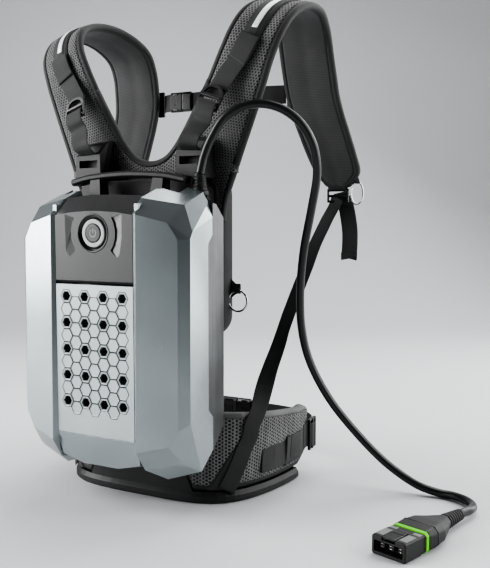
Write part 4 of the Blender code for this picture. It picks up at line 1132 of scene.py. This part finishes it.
def lifter_webbing(side, name):
    """Webbing from the strap through the slider and down to the lifter bracket."""
    strap = [(0.1660, -0.1108, 0.648), (0.1610, -0.1126, 0.638), (0.1520, -0.1145, 0.624),
             (0.1390, -0.1180, 0.607), (0.1275, -0.1205, 0.590), (0.1218, -0.1248, 0.578),
             (0.1195, -0.1300, 0.5715)]
    across = [(0.90, 0.0, -0.30), (0.90, 0.0, -0.22), (0.92, 0.0, -0.20)]
    ribbon("lifter_strap_" + name, strap, across, SHOULDER_WEB, 60, side=side, ripple=0.0008,
           replaces=["lifter_webbing_" + name])
    # Doubled patch where it is sewn to the tape
    patch = [(0.1690, -0.1112, 0.6560), (0.1630, -0.1142, 0.6440), (0.1560, -0.1156, 0.6310),
             (0.1500, -0.1168, 0.6215)]
    ribbon("lifter_patch_" + name, patch, across, SHOULDER_WEB + 0.0008, 16, 0.0020, side=side)
    lower = [(0.1178, -0.1362, 0.5675), (0.1162, -0.1408, 0.5630), (0.1130, -0.1425, 0.5500),
             (0.1080, -0.1400, 0.5400), (0.1020, -0.1450, 0.5290), (0.0965, -0.1510, 0.5180),
             (0.0915, -0.1490, 0.5080), (0.0900, -0.1390, 0.5010), (0.0900, -0.1330, 0.4960)]
    across = [(0.93, 0.0, -0.34), (0.95, 0.0, -0.30), (1.0, 0.05, -0.10), (1.0, 0.0, 0.0)]
    ribbon("lifter_end_" + name, lower, across, SHOULDER_WEB - 0.0002, 60, side=side,
           ripple=0.0010, replaces=["lifter_loop_" + name])
    ladder_bars("lifter_bars_" + name, side, (0.117, -0.1353, 0.5665), (0.30, 0.36, 0.90),
                ((-0.0100, 0.0021), (-0.0015, 0.0022), (0.0078, 0.0021)))


def tip_webbing(side, name):
    """Webbing and hardware at the strap's lower tip."""
    lower = [(0.2108, 0.1085, 0.4400), (0.2066, 0.1080, 0.4285), (0.2002, 0.0900, 0.4040),
             (0.1950, 0.0600, 0.3695), (0.1896, 0.0180, 0.3138), (0.1852, -0.0225, 0.2610),
             (0.1815, -0.0420, 0.2262), (0.1755, -0.0720, 0.1755), (0.1712, -0.0913, 0.1315),
             (0.1660, -0.1000, 0.1120), (0.1627, -0.1000, 0.0950), (0.1556, -0.1046, 0.0768),
             (0.1480, -0.1116, 0.0501), (0.1368, -0.1222, 0.0187)]
    across = [(0.90, -0.34, -0.1)] * 5 + [(0.93, 0.0, -0.1), (0.62, 0.79, 0.0)]
    across += [(0.65, 0.76, -0.2), (0.75, 0.66, -0.3)]
    ribbon("lower_strap_" + name, lower, across, LOWER_WEB, 130, side=side, ripple=0.0009,
           replaces=["lower_webbing_" + name])
    tail = [(0.2150, 0.1100, 0.4480), (0.2180, 0.1170, 0.4380), (0.2210, 0.1190, 0.4290),
            (0.2250, 0.1175, 0.4150), (0.2296, 0.1160, 0.3887), (0.2303, 0.1150, 0.3650),
            (0.2293, 0.1140, 0.3450)]
    across = [(1.0, 0.0, 0.0), (0.95, 0.25, 0.0), (0.88, 0.47, 0.0), (0.88, 0.47, 0.0)]
    ribbon("strap_tail_" + name, tail, across, LOWER_WEB, 50, side=side, ripple=0.0007,
           replaces=["webbing_tail_" + name])
    fold = [(0.2298, 0.1160, 0.3530), (0.2293, 0.1153, 0.3445), (0.2293, 0.1137, 0.3436),
            (0.2298, 0.1128, 0.3530)]
    ribbon("tail_fold_" + name, fold, [(0.88, 0.47, 0.0)] * 2, LOWER_WEB + 0.0002, 16, 0.0012,
           side=side)
    # Short strap sewn into the pad's tip, round the adjuster's upper bar
    tongue = [(0.2085, 0.1060, 0.4680), (0.2100, 0.1075, 0.4580), (0.2108, 0.1085, 0.4540),
              (0.2110, 0.1115, 0.4524), (0.2110, 0.1145, 0.4545), (0.2100, 0.1165, 0.4640)]
    ribbon("tip_tongue_" + name, tongue, [(1.0, 0.0, 0.0)] * 2, SHOULDER_WEB, 26, 0.0014,
           side=side)
    ladder_bars("adjuster_bars_" + name, side, (0.211, 0.1115, 0.4445), (0, 0, 1),
                ((-0.0100, 0.0018), (-0.0015, 0.0020), (0.0080, 0.0018)))
    loop_wire("tip_wire_" + name, flip(RING_HINGE - Vector((0, 0, 0.0180)), side),
              (0.47 * side, -0.88, 0.0), 0.0095, 0.0180, body="tip_ring_" + name,
              replaces=["tip_ring_" + name])


def buckle_marks(name, centre, ridges, ridge, edge_lift, edge, bevel, body="pack"):
    """Ridges across a side release buckle's face, and the marks along its two edges."""
    places = [(centre + Vector(step), ridge) for step in ridges]
    places += [(centre + Vector((0.0, 0.0, lift)), edge) for lift in (-edge_lift, edge_lift)]
    blocks(name, places, SATIN, bevel, 2, body=body, slot="black")


def chest_strap():
    left = [(-0.1190, 0.1100, CHEST_LEVEL), (-0.112, 0.1050, CHEST_LEVEL),
            (-0.0985, 0.0995, CHEST_LEVEL)]
    right = [(-0.0557, 0.0995, CHEST_LEVEL), (0.020, 0.0990, CHEST_LEVEL),
             (0.085, 0.1010, CHEST_LEVEL), (0.1190, 0.1100, CHEST_LEVEL)]
    for name, route, count in (("left", left, 12), ("right", right, 40)):
        ribbon("chest_strap_" + name, route, [(0.0, 0.0, 1.0)] * 2, SHOULDER_WEB, count,
               ripple=0.0006, body="chest_strap", replaces=["chest_webbing_" + name])
    keeper = [(Vector((0.030, y, CHEST_LEVEL)), (0.008, 0.0010, 0.034)) for y in (0.0975, 0.1015)]
    keeper += [(Vector((0.030, 0.0995, CHEST_LEVEL + lift)), (0.008, 0.0050, 0.0010))
               for lift in (-0.0165, 0.0165)]
    blocks("chest_keeper", keeper, BLACK, 0.0004, body="chest_strap", slot="black")
    buckle_marks("chest_buckle_marks", Vector((-0.0870, 0.0950, CHEST_LEVEL)),
                 [(0.0030 * k - 0.0060, 0.0002, 0.0) for k in range(4)], (0.0010, 0.0010, 0.0117),
                 0.0130, (0.0096, 0.0010, 0.0030), 0.0003, "chest_strap")


# Hip belt

# The belt's outer line on one side, seen from above, from the back to its tip
BELT_PATH = [(0.0, -0.1460), (0.055, -0.1450), (0.098, -0.1395), (0.128, -0.1250),
             (0.150, -0.0970), (0.165, -0.0550), (0.1735, -0.0050), (0.1755, 0.0400),
             (0.1715, 0.0800)]
BELT_STEP = 1 / 30
BELT_POINTS = 241
BELT_LINE = smooth([(x, y, 0.0) for x, y in BELT_PATH], BELT_POINTS)
BELT_LENGTH = arc_lengths(BELT_LINE)[-1]
# Where the wing starts, half its thickness, and how far its binding reaches from the edge
WING_START, WING_HALF, WING_EDGE = 6 * BELT_STEP, 0.0090, 0.0090
# Depth of the sewn groove beside the binding, and height of the crown inside it
WING_GROOVE, WING_PUFF = 0.0011, 0.0011
WING_ROWS = 150
# Height of the hip webbing at its sewn end, and at the buckle
BELT_WEB_LEVEL, HIP_BUCKLE = 0.0535, Vector((0.0, 0.1415, 0.066))


def belt_place(fraction):
    """A point on the belt's outer line, and the outward and forward directions there."""
    i = round(fraction * (BELT_POINTS - 1))
    along = heading(BELT_LINE, i)
    return BELT_LINE[i], Vector((along.y, -along.x, 0.0)), along


def base_top(fraction):
    """The lumbar base's upper edge, which drops where the wing starts."""
    return mix(0.058, 0.0165, (fraction - WING_START) / (2 * BELT_STEP))


def wing_shape(fraction):
    """Lowest and highest level and outward lean of a wing."""
    bottom = mix(base_top(fraction) + 0.0003, 0.034, (fraction - 0.88) / 0.12)
    top = mix(0.088, 0.131, (fraction - 0.345) / 0.04)
    top = mix(top, 0.113, (fraction - 0.46) / 0.40)
    top = mix(top, 0.104, (fraction - 0.92) / 0.08)
    lean = mix(0.0, 0.012, (fraction - 0.38) / 0.08)
    lean = mix(lean, 0.004, (fraction - 0.62) / 0.38)
    return bottom, top, lean


def wing_surface(fraction, height):
    """Distance outward of the wing's outer face at a height."""
    bottom, top, lean = wing_shape(fraction)
    share = (height - bottom) / (top - bottom)
    return lean * min(max(share, 0.0), 1.0) + 0.0008


def wing_section(height):
    """Distances from the upper edge round the wing's section, each with its face."""
    near = [0.0, 0.0010, 0.0030, 0.0060, 0.0080, 0.0090, 0.0100, 0.0125]
    middle = [0.0125 + (height - 0.025) * t for t in (0.12, 0.25, 0.4, 0.55, 0.7, 0.85)]
    places = near + middle + [height - p for p in reversed(near)]
    return [(e, 1) for e in places] + [(e, -1) for e in reversed(places[1:-1])]


def wing_looks(section, height):
    """Each face's look: 0 mesh outside, 1 binding, 2 lining inside, 3 the upper edge's outer binding,
    painted paler as a painted highlight.
    """
    kinds = []
    outer = sum(face > 0 for _, face in section) - 1
    for j, (e, face) in enumerate(section):
        after = section[(j + 1) % len(section)][0]
        if min(e, height - e) + min(after, height - after) < 2 * WING_EDGE:
            # The upper edge's outer face takes the paler copy of the binding: painted highlight
            kinds.append(3 if e + after < 0.0200 and face > 0 else 1)
        else:
            kinds.append(0 if j < outer else 2)
    return kinds


def wing_extent(fraction):
    """Lowest and highest level, outward lean, and fullness, which drops to nothing at the tip."""
    bottom, top, lean = wing_shape(fraction)
    full = rounding((1 - fraction) / 0.030, 1.0)
    shrink = 0.175 * (top - bottom) * (1 - full)
    return bottom + shrink, top - shrink, lean, full


def wing_ring(fraction, side):
    """Points round the wing's section: a rolled edge, a sewn groove beside it, and a soft face."""
    point, away, _ = belt_place(fraction)
    bottom, top, lean, full = wing_extent(fraction)
    height = top - bottom
    ring = []
    for e, face in wing_section(height):
        near = min(e, height - e)
        thick = WING_HALF * max(full, 0.12) * rounding(near, 0.0075)
        thick -= WING_GROOVE * math.exp(-((near - WING_EDGE) / 0.0010) ** 2) * full
        if near > WING_EDGE:
            share = min(max((e - WING_EDGE) / max(height - 2 * WING_EDGE, 1e-6), 0), 1)
            thick += WING_PUFF * math.sin(math.pi * share) ** 0.6 * full
        middle = lean * (height - e) / max(height, 1e-6) - WING_HALF
        spot = point + away * (middle + face * thick) + Vector((0, 0, top - e))
        if near > 0.010:
            spot = spot + away * 0.0006 * noise.noise(spot * 55.0)
        ring.append(flip(spot, side))
    return ring


def wing_seam(fraction, inset, side):
    """A seam's point and normal, below the upper edge or, with a negative inset, above the lower."""
    point, away, _ = belt_place(fraction)
    bottom, top, lean, full = wing_extent(fraction)
    z = top - inset if inset > 0 else bottom - inset
    out = lean * (z - bottom) / (top - bottom) - WING_HALF + WING_HALF * max(full, 0.12) + 0.0004
    return flip(point + away * out + Vector((0, 0, z)), side), flip(away, side)


def hip_wing(side, name):
    """A padded wing of the hip belt, bound at its edges and rounded at its end."""
    stations = [mix(WING_START, 1.0, k / (WING_ROWS - 1)) for k in range(WING_ROWS)]
    rows = [wing_ring(fraction, side) for fraction in stations]
    bottom, top, _, _ = wing_extent(1.0)
    piece = skin("hip_pad_" + name, rows, [DARK_MESH, BINDING, LINING, BELT_EDGE_HIGHLIGHT],
                 picks=wing_looks(wing_section(top - bottom), top - bottom), slot="mesh_fabric",
                 replaces=["hip_wing_" + name])
    # The cloth map runs by height and by distance along the belt, so that the holes stay round
    layer = piece.data.uv_layers["cloth"]
    for loop in piece.data.loops:
        fraction = stations[loop.vertex_index // len(rows[0])]
        height = piece.data.vertices[loop.vertex_index].co.z
        layer.data[loop.index].uv = (height, fraction * BELT_LENGTH)
    for label, inset in (("top", 0.0078), ("low", -0.0078)):
        seam = [wing_seam(fraction, inset, side) for fraction in stations[:-1]]
        stitches("belt_seam_%s_%s" % (name, label), [p for p, _ in seam], [n for _, n in seam])


def on_belt(fraction, height, lift):
    """A point on the wing's outer face, lifted off it."""
    point, away, _ = belt_place(fraction)
    return point + away * (wing_surface(fraction, height) + lift) + Vector((0, 0, height))


def hip_webbing(side, name):
    """Webbing from the wing round the wearer's front, with its box seam, keeper and flap."""
    heights = ((0.566, 0.0540), (0.62, 0.0535), (0.70, 0.0530), (0.79, 0.0540), (0.88, 0.0570),
               (0.95, 0.0600), (1.0, 0.0620))
    route = [on_belt(f, z, 0.0012) for f, z in heights]
    route += [Vector((0.166, 0.112, 0.063)), Vector((0.138, 0.133, 0.0645)),
              Vector((0.100, 0.140, 0.0655)), Vector((0.065, 0.1415, 0.066))]
    end = HIP_BUCKLE + Vector((-0.0200 if side < 0 else 0.0390, 0, 0))
    points = evenly([flip(p, side) for p in catmull(route, 12)] + [end], 130)
    rows = ribbon_rows(points, [(0, 0, 1)] * 2, HIP_WEB, 0.0018, 0.0007)
    skin("hip_strap_" + name, rows, [WEB], slot="webbing", replaces=["hip_webbing_" + name])
    corners = [(0.572, 0.0370), (0.572, 0.0710), (0.640, 0.0705), (0.640, 0.0365), (0.572, 0.0370)]
    line, normals = [], []
    for (f0, z0), (f1, z1) in zip(corners, corners[1:]):
        for k in range(12):
            f, z = mix(f0, f1, k / 12), mix(z0, z1, k / 12)
            line.append(flip(on_belt(f, z, 0.0026), side))
            normals.append(flip(belt_place(f)[1], side))
    stitches("belt_box_seam_" + name, line, normals)
    for label, f0, f1, lift, half, look in (("keeper", 0.735, 0.762, 0.0034, 0.0225, WEB),
                                            ("flap", 0.765, 0.880, 0.0028, 0.0215, BINDING)):
        section = ((-half, 0.0), (-half, lift * 0.8), (-half + 0.0012, lift), (0.0, lift + 0.0006),
                   (half - 0.0012, lift), (half, lift * 0.8), (half, 0.0))
        rows = []
        for k in range(11):
            f = mix(f0, f1, k / 10)
            middle = BELT_WEB_LEVEL + 0.003 * (f - 0.7)
            rows.append([flip(on_belt(f, middle + z, out), side) for z, out in section])
        skin("belt_%s_%s" % (label, name), rows, [look], slot="webbing")


def belt_gore(side, name):
    """Sewn patch that spreads the lower strap's pull over the belt."""
    rows = []
    for k in range(15):
        t = k / 14
        height = mix(0.1000, 0.0200, t)
        right = mix(0.470, 0.400, t)
        rows.append([flip(on_belt(right - 0.078 * t * (1 - c / 8), height,
                                  0.0014 if 0 < c < 8 else 0.0), side) for c in range(9)])
    skin("belt_gore_" + name, rows, [WEB], wrap=False, slot="webbing")


def tip_buckle(side, name):
    """A ladder buckle at the belt's end, with the webbing that runs through it."""
    _, away, along = belt_place(0.985)
    up = Vector((0, 0, 1))
    centre = on_belt(0.985, 0.0610, 0.0072) + along * 0.004
    width, length, rail = 0.050, 0.030, 0.0032
    # Two side rails, then four cross bars
    places = [(centre + up * sign * (width - rail) / 2, (length, 0.0042, rail)) for sign in (-1, 1)]
    places += [(centre + along * (place * length / 2) + away * lift, (thick, 0.0046, width - 0.001))
               for place, thick, lift in ((-0.92, 0.0030, 0.0), (-0.10, 0.0030, 0.0012),
                                          (0.42, 0.0028, 0.0), (0.92, 0.0030, 0.0008))]
    blocks("tip_buckle_" + name, places, SATIN, 0.0009, turn=Matrix((along, away, up)).transposed(),
           side=side, slot="black")
    route = [centre + along * ahead + away * lift
             for ahead, lift in ((-0.030, -0.0050), (-0.016, -0.0035), (-0.010, 0.0030),
                                 (-0.002, 0.0046), (0.008, 0.0010), (0.016, -0.0020))]
    ribbon("tip_webbing_" + name, route, [up, up], HIP_WEB, 30, 0.0018, side=side)


def hip_buckle_marks():
    for name, x, half in (("hip_socket_marks", -0.0040, 0.0110), ("hip_plug_marks", 0.0270, 0.008)):
        for out, label in ((0.0055, "front"), (-0.0055, "back")):
            buckle_marks(name + "_" + label, HIP_BUCKLE + Vector((x, out, 0)),
                         [(half * 0.6 * k, 0, 0) for k in (-1, 0, 1)], (0.0014, 0.0012, 0.020),
                         0.0190, (half * 1.4, 0.0012, 0.0034), 0.0004)


# Cushions and side tabs

def apply_modifiers(piece):
    graph = bpy.context.evaluated_depsgraph_get()
    graph.update()
    made = bpy.data.meshes.new_from_object(piece.evaluated_get(graph))
    piece.modifiers.clear()
    piece.data = made


def inflate(pad):
    """Twenty steps of cloth under pressure, applied to the mesh."""
    cloth = pad.modifiers.new("cloth", "CLOTH")
    settings = cloth.settings
    settings.quality = 4
    settings.mass = 0.25
    settings.use_pressure = True
    settings.uniform_pressure_force = 4.0
    settings.effector_weights.gravity = 0.0
    settings.tension_stiffness = 22.0
    settings.compression_stiffness = 22.0
    settings.bending_stiffness = 0.6
    cloth.collision_settings.use_collision = False
    cloth.point_cache.frame_start = 1
    cloth.point_cache.frame_end = 20
    scene = bpy.context.scene
    for step in range(1, 21):
        scene.frame_set(step)
    apply_modifiers(pad)
    scene.frame_set(1)


def puffed(name, shape, replaces, limit, freedom, voxel=0.005):
    """A stuffed pad, blown up as cloth. Each point moves at most limit times its freedom."""
    bmesh.ops.recalc_face_normals(shape, faces=shape.faces)
    mesh = bpy.data.meshes.new(name)
    shape.to_mesh(mesh)
    shape.free()
    pad = add_to_scene(name, mesh)
    remesh = pad.modifiers.new("remesh", "REMESH")
    remesh.mode = "VOXEL"
    remesh.voxel_size = voxel
    apply_modifiers(pad)
    rest = [v.co.copy() for v in pad.data.vertices]
    inflate(pad)
    for vert, start in zip(pad.data.vertices, rest):
        travel = vert.co - start
        if travel.length > limit:
            travel = travel.normalized() * limit
        vert.co = start + travel * freedom(start)
    uv = pad.data.uv_layers.get("cloth") or pad.data.uv_layers.new(name="cloth")
    for loop in pad.data.loops:
        co = pad.data.vertices[loop.vertex_index].co
        uv.data[loop.index].uv = (co.x, co.z)
    pad.data.materials.append(LINING)
    for face in pad.data.polygons:
        face.use_smooth = True
    level = pad.modifiers.new("finer", "SUBSURF")
    level.levels = level.render_levels = 1
    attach(pad, "pack")
    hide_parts(*replaces)


def rounded(half_width, low, high, radius, steps=5):
    """Outline of an upright rectangle with round corners."""
    outline = []
    for sign, level, start in ((1, high, 0), (-1, high, 90), (-1, low, 180), (1, low, 270)):
        cx = sign * (half_width - radius)
        cz = level - radius if level == high else level + radius
        for k in range(steps + 1):
            angle = math.radians(start + 90 * k / steps)
            outline.append((cx + radius * math.cos(angle), cz + radius * math.sin(angle)))
    return outline


# Heights of the channels sewn across the back cushion, between its three puffed fields
CHANNELS = (0.315, 0.392)


def back_freedom(point):
    """Less travel at the back and along the sewn channels."""
    free = ease((point.y + 0.106) / 0.020)
    for level in CHANNELS:
        free *= ease(abs(point.z - level) / 0.016)
    return free * (0.4 + 0.6 * ease(abs(point.x) / 0.012))


def wearer_pads():
    rings = []
    for depth, inset in ((-0.1105, 0.006), (-0.106, 0.001), (-0.078, 0.001), (-0.074, 0.005)):
        outline = rounded(0.1225 - inset, 0.237 + inset, 0.4695, 0.030 - inset)
        rings.append([(x, depth, z) for x, z in outline])
    puffed("back_cushion", loft_shape(rings), ["back_pad"], 0.008, back_freedom)
    rings = []
    for depth, inset, top in ((-0.1420, 0.004, 0.072), (-0.138, 0.001, 0.078),
                              (-0.122, 0.001, 0.091), (-0.1190, 0.005, 0.088)):
        rings.append([(x, depth, z) for x, z in rounded(0.0660 - inset, 0.0590, top, 0.006)])
    puffed("lumbar_cushion", loft_shape(rings), ["lumbar_pad"], 0.005,
           lambda point: ease((point.y + 0.138) / 0.014), voxel=0.004)


def back_binding():
    """Tape round the back cushion's edge."""
    middle, half_width, half_height = 0.353, 0.118, 0.116
    outline = rounded(0.1232, 0.2365, 0.4700, 0.0300, 9)
    rows = []
    for x, z in outline + outline[:1]:
        # Straight out from the sides, and turning only at the corners
        out = Vector((math.copysign(min(abs(x) / half_width, 1) ** 6, x), 0.0,
                      math.copysign(min(abs(z - middle) / half_height, 1) ** 6, z - middle)))
        out.normalize()
        rows.append([Vector((x, -0.092 + 0.0135 * s, z)) + out * (0.0026 * c - 0.0012)
                     for c, s in circle(14)])
    skin("back_binding", rows, [BINDING], caps=False, slot="webbing")


def side_loops(side, name):
    """Tapered tab of doubled webbing in the cushion's side, with its seam, loop and ring."""
    profile = ((-1.0, 0.0), (-0.97, 0.8), (-0.9, 1.0), (0.0, 1.0), (0.9, 1.0), (0.97, 0.8),
               (1.0, 0.0), (0.97, -0.8), (0.9, -1.0), (0.0, -1.0), (-0.9, -1.0), (-0.97, -0.8))
    rows = []
    for k in range(17):
        t = k / 16
        half = mix(0.0195, 0.0066, ease(t / 0.85))
        thick = 0.0009 * math.sqrt(max(1 - max(t - 0.86, 0.0) / 0.15, 0.05))
        x, z = mix(0.1150, 0.1398, t), mix(0.3055, 0.3045, t)
        rows.append([flip((x, -0.0851 + thick * b, z + half * a), side) for a, b in profile])
    skin("side_tab_cloth_" + name, rows, [WEB], slot="webbing", replaces=["side_tab_" + name])
    line = [flip((0.1250, -0.0861, 0.3190 - 0.0300 * k / 8), side) for k in range(9)]
    stitches("side_tab_seam_" + name, line, [Vector((0, -1, 0))] * 9)
    loop = [(0.1365, -0.0866, 0.3125), (0.1365, -0.0888, 0.3070), (0.1368, -0.0918, 0.3032),
            (0.1370, -0.0897, 0.3006), (0.1368, -0.0872, 0.3028), (0.1365, -0.0864, 0.3085)]
    ribbon("side_ring_loop_" + name, loop, [(1, 0, 0)] * 2, 0.0085, 30, 0.0008, side=side)
    loop_wire("side_wire_" + name, flip((0.1375, -0.0895, 0.2880), side), (0.0, -1.0, 0.0),
              0.015, 0.015, body="side_ring_" + name, replaces=["side_ring_" + name])


# The scene

set_stage()
dress_cad_nodes()
cord, cord_exit, cord_length = power_cord()
relief = strain_relief()
plug_pieces = plug_details()
gland_boot()
grille_cells()
hex_rims()
button_symbol()
panel_gap_shade()
yoke_pad()
neck_binding()
for side, name in SIDES:
    shoulder_pad(side, name)
    strap_seams(side, name)
    ring_loop(side, name)
    strap_gusset(side, name)
    strap_tapes(side, name)
    lifter_webbing(side, name)
    tip_webbing(side, name)
    hip_wing(side, name)
    hip_webbing(side, name)
    belt_gore(side, name)
chest_strap()
for side, name in SIDES:
    tip_buckle(side, name)
hip_buckle_marks()
wearer_pads()
back_binding()
for side, name in SIDES:
    side_loops(side, name)
